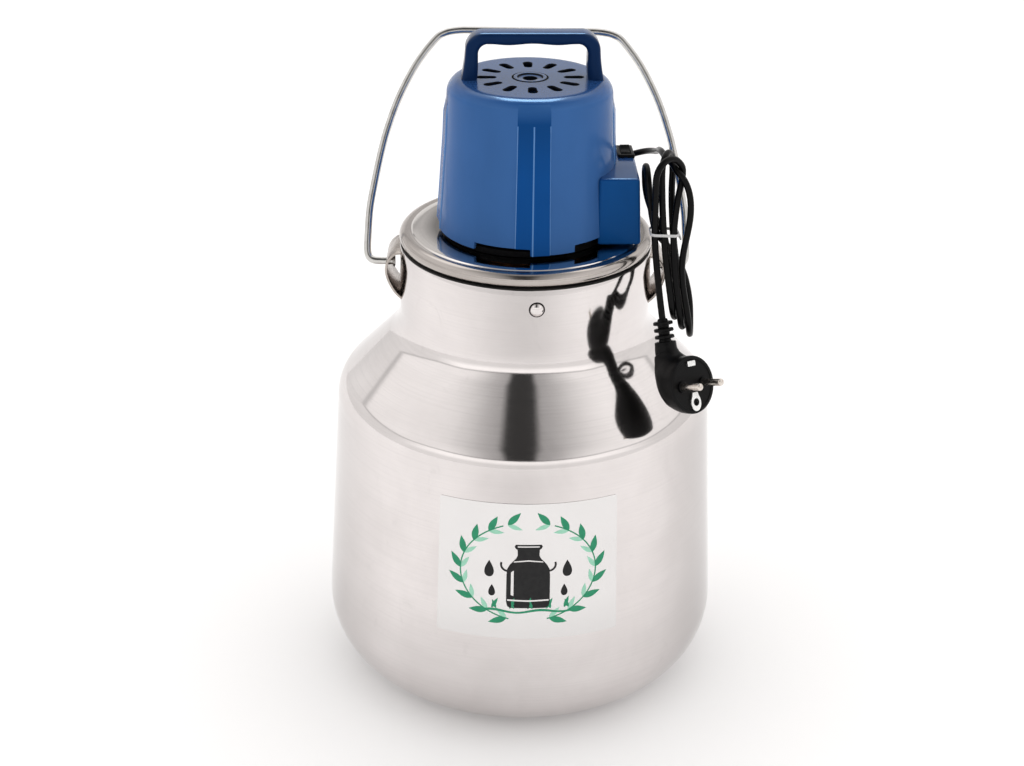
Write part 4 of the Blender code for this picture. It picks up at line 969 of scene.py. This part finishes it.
# The plug's own frame: origin where the lead goes in, z back up along the lead, x out of the face.
turn, tilt, roll = math.radians(42.0), math.radians(21.0), math.radians(7.0)
level = Vector((math.sin(turn), -math.cos(turn), 0))
way = level * math.cos(tilt) + Vector((0, 0, math.sin(tilt)))
plug_up = Vector((0, 0, math.cos(tilt))) - level * math.sin(tilt)
across = plug_up.cross(way)
plug_up, across = plug_up * math.cos(roll) + across * math.sin(roll), across * math.cos(roll) - plug_up * math.sin(roll)
PLUG_TOP = Vector((90.0, -67.0, 292.4))


def plug_at(x, y, z):
    return PLUG_TOP + way * x + across * y + plug_up * z


route += [(84.6, -50.5, 333.0), (85.6, -57.2, 321.0), (86.8, -62.2, 310.0), tuple(plug_at(0, 0, 9.0)), tuple(plug_at(0, 0, 4.0)), tuple(plug_at(0, 0, -2.0))]

TIE_Z = 344.0
line = catmull(route, 2.6)
tie_marks = [i for i in range(len(line)) if i > 0 and (line[i - 1][2] - TIE_Z) * (line[i][2] - TIE_Z) <= 0 and line[i][0] < 101.5 and line[i][1] < -30]


def settled(line, rounds):
    """Lays the turns beside each other: keeps its length, opens tight bends, and pushes strands a diameter apart."""
    p = line.copy()
    count = len(p)
    step = np.linalg.norm(np.diff(p, axis=0), axis=1)
    fixed = np.zeros(count, bool)
    fixed[:5] = fixed[-5:] = True
    for m in tie_marks:
        fixed[m] = True
    # the lead outside the hank keeps its route
    fixed[: int(np.argmax(line[:, 1] < -8))] = True
    near = np.abs(np.arange(count)[:, None] - np.arange(count)[None, :]) <= 5

    def pushed(p):
        apart = p[:, None, :] - p[None, :, :]
        far = np.sqrt((apart**2).sum(-1)) + 1e-9
        push = np.where((far < 4.55) & ~near, (4.55 - far) * 0.22, 0.0)
        shift = (apart / far[:, :, None] * push[:, :, None]).sum(1)
        size = np.linalg.norm(shift, axis=1)
        shift *= np.minimum(1.0, 0.8 / np.maximum(size, 1e-9))[:, None]
        return p + np.where(fixed[:, None], 0.0, shift)

    for turn in range(rounds):
        if turn == rounds - 50:
            fixed[tie_marks] = False
        smooth = p.copy()
        smooth[1:-1] = 0.5 * p[1:-1] + 0.25 * (p[:-2] + p[2:])
        move = np.where(fixed[:, None], 0.0, 0.5 * (smooth - p))
        p = p + move
        for span in (3, 4):
            chord = 0.5 * (p[: -2 * span] + p[2 * span :]) - p[span:-span]
            sag = np.linalg.norm(chord, axis=1) + 1e-9
            half = np.linalg.norm(p[2 * span :] - p[: -2 * span], axis=1) / 2
            ease = np.clip(1.0 - (half**2 + sag**2) / (2 * sag) / 13.0, 0.0, 1.0)
            force = chord * (0.13 * ease)[:, None]
            shift = np.zeros_like(p)
            shift[span:-span] += force
            shift[: -2 * span] -= 0.5 * force
            shift[2 * span :] -= 0.5 * force
            p = p + np.where(fixed[:, None], 0.0, shift)
        for _ in range(3):
            gap = np.diff(p, axis=0)
            long = np.linalg.norm(gap, axis=1)
            pull = gap * ((long - step) / np.maximum(long, 1e-9) * 0.5)[:, None]
            shift = np.zeros_like(p)
            shift[:-1] += pull
            shift[1:] -= pull
            p = p + np.where(fixed[:, None], 0.0, shift)
        p = pushed(p)
        inside = ~fixed & (p[:, 1] < -20)
        p[inside, 0] = np.clip(p[inside, 0], 77.6, 111.6)
        p[inside, 2] = np.clip(p[inside, 2], 271.0, 400.0)
        reach = np.hypot(p[:, 0], p[:, 1])
        close = inside & (reach < 89.2) & (p[:, 2] < 334)
        p[close, :2] *= (89.2 / reach[close])[:, None]
    for last in range(14):
        if last % 3 == 0:
            p[6:-6] = 0.5 * p[6:-6] + 0.25 * (p[5:-7] + p[7:-5])
        p = pushed(p)
    return p


line = settled(line, 220)
cord_data = bpy.data.curves.new("mains_lead", "CURVE")
cord_data.dimensions = "3D"
cord_data.bevel_depth = CORD_R * MM
cord_data.bevel_resolution = 5
cord_data.use_fill_caps = True
spline = cord_data.splines.new("POLY")
spline.points.add(len(line) - 1)
for point, where in zip(spline.points, line):
    point.co = (*(Vector(where) * MM), 1.0)
spline.use_smooth = True
cord = bpy.data.objects.new("mains_lead", cord_data)
scene.collection.objects.link(cord)
cord_data.materials.append(JACKET)
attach(cord, "head")
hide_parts("power_cord_lead", "cord_hank", "cord_tail")

# the tie hugs the strands
marks = np.array([line[m][:2] for m in tie_marks])


def hull(points):
    points = sorted(map(tuple, points))

    def half(items):
        kept = []
        for q in items:
            while len(kept) > 1 and (kept[-1][0] - kept[-2][0]) * (q[1] - kept[-2][1]) - (kept[-1][1] - kept[-2][1]) * (q[0] - kept[-2][0]) <= 0:
                kept.pop()
            kept.append(q)
        return kept[:-1]

    return half(points) + half(points[::-1])


round_points = [(x + (CORD_R + 0.75) * math.cos(a), y + (CORD_R + 0.75) * math.sin(a)) for x, y in marks for a in [2 * math.pi * i / 24 for i in range(24)]]
tie_ring = np.array(hull(round_points))
tie_ring = np.concatenate([tie_ring, tie_ring[:1]])
run = np.concatenate([[0], np.cumsum(np.linalg.norm(np.diff(tie_ring, axis=0), axis=1))])
want = np.linspace(0, run[-1], 97)[:-1]
tie_ring = np.stack([np.interp(want, run, tie_ring[:, i]) for i in range(2)], 1)
centre = tie_ring.mean(0)
verts, faces = [], []
section = [(0.5 * math.cos(a), 1.0 * math.sin(a)) for a in [2 * math.pi * i / 12 for i in range(12)]]
for i, (x, y) in enumerate(tie_ring):
    t = tie_ring[(i + 1) % 96] - tie_ring[i - 1]
    t /= np.linalg.norm(t)
    out = np.array([t[1], -t[0]])
    z = TIE_Z - 0.06 * (x - centre[0])
    for a, b in section:
        verts.append((x + out[0] * a, y + out[1] * a, z + b))
for i in range(96):
    for k in range(12):
        faces.append((i * 12 + k, i * 12 + (k + 1) % 12, ((i + 1) % 96) * 12 + (k + 1) % 12, ((i + 1) % 96) * 12 + k))
tie = add_object("hank_tie", mesh_of("hank_tie", verts, faces), "head", TIE, "tie_wire", "cord_tie")
ends_at = tie_ring[np.argmax(tie_ring[:, 0] + 0.6 * tie_ring[:, 1])]
for k, phase in enumerate((0.0, math.pi)):
    twist = [(ends_at[0] + 0.4 + 0.30 * s, ends_at[1] + 0.5 + 0.75 * math.cos(phase + s * 0.75) + 0.20 * s, TIE_Z - 1.6 + 0.75 * math.sin(phase + s * 0.75) - 0.65 * s) for s in np.linspace(0, 9, 40)]
    add_object("tie_end_%d" % (k + 1), tube_mesh("tie_end_%d" % (k + 1), twist, 0.6, 10), "head", TIE, "tie_wire", smooth=60)

# ------------------------------------------------------------------ plug
REACH, DROP = 21.0, 44.0
face = plug_at(REACH, 0, -DROP)
plug_frame = Matrix.Translation(PLUG_TOP * MM) @ Matrix((way, across, plug_up)).transposed().to_4x4()
relief = [(0.0, 0.0), (2.9, 0.0), (3.2, -0.4)]
for i in range(3):
    z = -1.6 - 4.5 * i
    relief += [(3.6, z), (5.9, z - 0.2), (6.4, z - 0.6), (6.5, z - 1.9), (6.2, z - 2.4), (3.9, z - 2.7)]
relief += [(4.6, -16.5), (0.0, -16.5)]
relief_piece = add_object("plug_relief", lathe("plug_relief", relief, 40, closed=False), "head", BLACK, "black_moulding", place=plug_frame, smooth=30)

# The moulded body: rings that turn about a line in front of the column, from the column's section to the face's.
PIVOT_X, PIVOT_Z = 14.0, -18.0
rings = [((0.0, -14.9), (-1.0, 0.0), 5.4, 5.4), ((0.0, -15.2), (-1.0, 0.0), 6.7, 6.7), ((0.0, -15.8), (-1.0, 0.0), 7.1, 7.1)]
for degrees in [0, 6, 12, 17, 19, 24, 30, 36, 42, 48, 54, 60, 66, 72, 78, 84, 90]:
    near = float(np.interp(degrees, [0, 45, 90], [6.8, 6.4, 7.4]))
    far = float(np.interp(degrees, [0, 17, 19, 30, 45, 55, 65, 78, 90], [21.2, 22.6, 23.6, 26.2, 31.0, 33.8, 37.6, 42.4, 44.6]))
    wide = float(np.interp(degrees, [0, 17, 19, 30, 45, 60, 75, 90], [7.2, 7.4, 8.2, 8.8, 11.0, 14.2, 17.2, 18.6]))
    ex, ez = -math.cos(math.radians(degrees)), -math.sin(math.radians(degrees))
    reach = (near + far) / 2
    rings.append(((PIVOT_X + ex * reach, PIVOT_Z + ez * reach), (ex, ez), (far - near) / 2, wide))
for x, r in ((17.0, 18.9), (20.3, 19.0), (20.8, 18.8), (21.0, 18.4), (21.0, 16.8), (20.5, 16.4), (20.5, 8.0)):
    rings.append(((x, -DROP), (0.0, -1.0), r, r))
verts, faces = [], []
sides = 64
for (cx, cz), (ex, ez), deep, wide in rings:
    for k in range(sides):
        a = 2 * math.pi * k / sides
        verts.append(tuple(plug_at(cx + ex * deep * math.cos(a), wide * math.sin(a), cz + ez * deep * math.cos(a))))
for i in range(len(rings) - 1):
    for k in range(sides):
        m = (k + 1) % sides
        faces.append((i * sides + k, i * sides + m, (i + 1) * sides + m, (i + 1) * sides + k))
faces.append(tuple(range(sides)))
faces.append(tuple((len(rings) - 1) * sides + k for k in range(sides)))
plug_piece = add_object("plug_shell", mesh_of("plug_shell", verts, faces), "head", BLACK, "black_moulding", "plug_body", smooth=40)

plug_pieces = [relief_piece, plug_piece]
for i, side in enumerate((-1, 1)):
    pin_profile = [(0.0, 17.2), (1.1, 17.2)] + arc(0.9, 15.7, 1.5, 80, 0, 6) + [(2.4, 9.0), (2.4, -0.6), (0.0, -0.6)]
    pin_place = Matrix.Translation((face + across * 9.5 * side) * MM) @ along(way)
    pin = add_object("plug_prong_%d" % (i + 1), lathe("plug_prong_%d" % (i + 1), pin_profile, 32, closed=False), "head", NICKEL, "nickelled_brass", "plug_pin_%d" % (i + 1), place=pin_place, smooth=40)
    collar = add_object("plug_collar_%d" % (i + 1), lathe("plug_collar_%d" % (i + 1), softened([(2.45, 0.9), (3.6, 0.9), (3.9, -0.8), (2.45, -0.8)], 0.3), 32), "head", BLACK, "black_moulding", place=pin_place, smooth=40)
    plug_pieces += [pin, collar]
clip_place = Matrix.Translation(face * MM) @ Matrix((across, -way, plug_up)).transposed().to_4x4()
top_clip = slab_mesh("plug_earth_top_clip", [(-3.2, 12.2), (3.2, 12.2), (3.4, 12.6), (3.4, 15.2), (3.0, 15.8), (-3.0, 15.8), (-3.4, 15.2), (-3.4, 12.6)], 2.4, 0.35, 2)
half_plate = [(2.3, -4.8), (2.9, -7.2), (4.0, -9.4), (4.4, -11.4), (4.2, -13.4), (3.4, -15.4), (2.0, -16.8), (0.7, -17.3)]
low_clip = slab_mesh("plug_earth_bottom_clip", [(-x, z) for x, z in half_plate] + [(x, z) for x, z in reversed(half_plate)], 2.4, 0.35, 2)
eye = lathe("clip_eye", [(0, 5), (2.5, 5), (2.5, -5), (0, -5)], 32, closed=False)
eye.transform(at(0, 0, -11.4) @ along((0, 1, 0)))
for name, mesh in (("plug_earth_top", top_clip), ("plug_earth_bottom", cut(low_clip, [eye]))):
    plug_pieces.append(add_object(name + "_clip", mesh, "head", CLIP, "nickelled_brass", name, place=clip_place))

# ------------------------------------------------------------------ drive under the lid
add_object("stir_shaft", lathe("stir_shaft", [(0.0, 299.4), (5.6, 299.4), (6.0, 299.0), (6.0, 180.0), (6.0, 44.4), (5.7, 44.0), (4.0, 44.0), (4.0, 30.8), (3.3, 30.0), (0.0, 30.0)], 64, closed=False), "drive", STEEL, "polished_steel", "agitator_shaft")
add_object("shaft_sleeve", lathe("shaft_sleeve", softened([(6.3, 316.0), (11.0, 316.0), (11.0, 286.0), (6.3, 286.0)], 0.8), 64), "drive", DULL, "cast_alloy", "drive_coupling")
hub = lathe("stir_wheel", softened([(6.3, 64.0), (11.0, 64.0), (13.0, 62.0), (13.0, 46.0), (11.5, 44.4), (6.3, 44.4)], 0.6), 64)
vane_meshes = []
for i in range(4):
    vane = block_mesh("vane", (9.5, -1.5, -8.0), (45.0, 1.5, 8.0), 0.6, 3)
    vane.transform(Matrix.Rotation(math.radians(90 * i), 4, "Z") @ at(0, 0, 54.5) @ Matrix.Rotation(math.radians(32), 4, "X"))
    vane_meshes.append(vane)
add_object("stir_wheel", cut(hub, vane_meshes, "UNION"), "drive", STEEL, "polished_steel", "impeller")

# ------------------------------------------------------------------ finishes of the CAD nodes that stay
for names, mat in (
    (("seal_carrier", "drive_coupling"), DULL),
    (("motor_base",), CAST),
    (("shaft_seal",), RUBBER),
    (("run_capacitor",), DULL),
    (("motor_bolt_1", "motor_bolt_2", "motor_bolt_3", "motor_bolt_4", "upper_bearing", "lower_bearing", "motor_shaft", "impeller_nut"), BRIGHT),
    (("stator_core", "rotor_core"), CORE),
    (("winding_upper", "winding_lower"), COPPER),
    (("cooling_fan",), BLACK),
):
    for name in names:
        mesh = nodes[name].data
        mesh.materials.clear()
        mesh.materials.append(mat)
        mesh.shade_smooth()
        mesh.set_sharp_from_angle(angle=math.radians(32.0))

# ------------------------------------------------------------------ floor and light
floor_mesh = bpy.data.meshes.new("floor")
floor_mesh.from_pydata([(40 * math.cos(math.radians(3 * i)), 40 * math.sin(math.radians(3 * i)), 0) for i in range(120)], [], [tuple(range(120))])
floor = bpy.data.objects.new("floor", floor_mesh)
scene.collection.objects.link(floor)
floor_g = Graph("floor_paper")
floor_g.set(Roughness=0.9, Specular_IOR_Level=0.0, Emission_Color=(1.0, 0.99, 0.985, 1.0), Emission_Strength=0.10)
floor_cloud = floor_g.noise(floor_g.mapped((1, 1, 1)), 2.0, 2.0, 0.5)
floor_g.base(floor_g.ramp(floor_cloud, [(0.3, (0.895, 0.892, 0.892)), (0.7, (0.91, 0.907, 0.907))]))
floor_mesh.materials.append(floor_g.mat)

world = bpy.data.worlds.new("studio")
scene.world = world
world.use_nodes = True
wt = world.node_tree
back = wt.nodes["Background"]
coords = wt.nodes.new("ShaderNodeTexCoord")
split = wt.nodes.new("ShaderNodeSeparateXYZ")
wt.links.new(coords.outputs["Generated"], split.inputs[0])
sky_x, sky_y, sky_z = split.outputs["X"], split.outputs["Y"], split.outputs["Z"]


def sky(operation, a, b=None):
    node = wt.nodes.new("ShaderNodeMath")
    node.operation = operation
    for value, socket in zip((a, b), node.inputs):
        if value is None:
            continue
        if isinstance(value, float):
            socket.default_value = value
        else:
            wt.links.new(value, socket)
    return node.outputs[0]


def rise(value, start, end, low=0.0, high=1.0):
    """A smooth step from low to high while the value goes from start to end."""
    node = wt.nodes.new("ShaderNodeMapRange")
    node.interpolation_type = "SMOOTHSTEP"
    for key, number in (("From Min", start), ("From Max", end), ("To Min", low), ("To Max", high)):
        node.inputs[key].default_value = number
    wt.links.new(value, node.inputs["Value"])
    return node.outputs["Result"]


# A white tent: low walls with a dark seam along their top, a ceiling that is greyer in its middle, a panel over the back
# and a dark gap in the ceiling for the camera.
aside = sky("ABSOLUTE", sky_x)
front = rise(sky_y, -0.6, -0.1, 1.0, 0.0)
height = sky("SUBTRACT", sky_z, sky("MULTIPLY", front, 0.09))
ceiling = sky("MAXIMUM", rise(aside, 0.15, 0.72, 0.46, 1.10), rise(sky_y, 0.05, 0.45, 0.0, 0.74))
panel = sky("MULTIPLY", sky("MULTIPLY", rise(sky_y, 0.10, 0.30), rise(aside, 0.35, 0.60, 1.0, 0.0)), sky("MULTIPLY", rise(sky_z, 0.56, 0.68), rise(sky_z, 0.86, 0.95, 1.0, 0.0)))
ceiling = sky("ADD", ceiling, panel)
wall = sky("ADD", rise(sky_y, -0.7, 0.1, 0.98, 0.92), sky("MULTIPLY", front, rise(height, 0.05, 0.22, 0.0, 0.35)))
low = rise(height, 0.305, 0.335, 1.0, 0.0)
room = sky("ADD", ceiling, sky("MULTIPLY", low, sky("SUBTRACT", wall, ceiling)))
seam = sky("MULTIPLY", rise(height, 0.315, 0.335), rise(height, 0.35, 0.385, 0.45, 0.0))
room = sky("MULTIPLY", room, sky("SUBTRACT", 1.0, seam))
gap = sky("MULTIPLY", sky("MULTIPLY", rise(sky("ABSOLUTE", sky("ADD", sky_x, 0.02)), 0.11, 0.19, 0.90, 0.0), rise(sky_y, -0.15, 0.05, 1.0, 0.0)), rise(sky_z, 0.40, 0.47))
room = sky("MULTIPLY", room, sky("SUBTRACT", 1.0, gap))
tint = wt.nodes.new("ShaderNodeCombineColor")
wt.links.new(room, tint.inputs[0])
wt.links.new(sky("MULTIPLY", room, 0.985), tint.inputs[1])
wt.links.new(sky("MULTIPLY", room, 0.975), tint.inputs[2])
wt.links.new(tint.outputs[0], back.inputs["Color"])
back.inputs["Strength"].default_value = 1.0

# A broad soft light from above that evens out the floor.
above = bpy.data.lights.new("overhead", "SUN")
above.energy = 0.80
above.angle = math.radians(110.0)
above.color = (1.0, 0.99, 0.985)
above_obj = bpy.data.objects.new("overhead", above)
scene.collection.objects.link(above_obj)
above_obj.location = (0.0, 0.0, 3.0)
above_obj.rotation_euler = (math.radians(-8.0), math.radians(4.0), 0.0)
above_obj.visible_glossy = False

# A softbox over the top, which only shows in the gloss of the rounded edges.
box_light = bpy.data.lights.new("top_softbox", "AREA")
box_light.shape = "RECTANGLE"
box_light.size, box_light.size_y = 0.8, 0.9
box_light.color = (0.62, 0.82, 1.0)
box_light.energy = 30.0
box_light_obj = bpy.data.objects.new("top_softbox", box_light)
scene.collection.objects.link(box_light_obj)
box_light_obj.location = (0.0, 0.85, 1.95)
box_light_obj.visible_diffuse = False
box_light_obj.visible_camera = False
lacquered = bpy.data.collections.new("lacquered")
for piece in (cover, ring, grip, side_box):
    lacquered.objects.link(piece)
box_light_obj.light_linking.receiver_collection = lacquered

scene.view_settings.view_transform = "Standard"
scene.view_settings.look = "None"
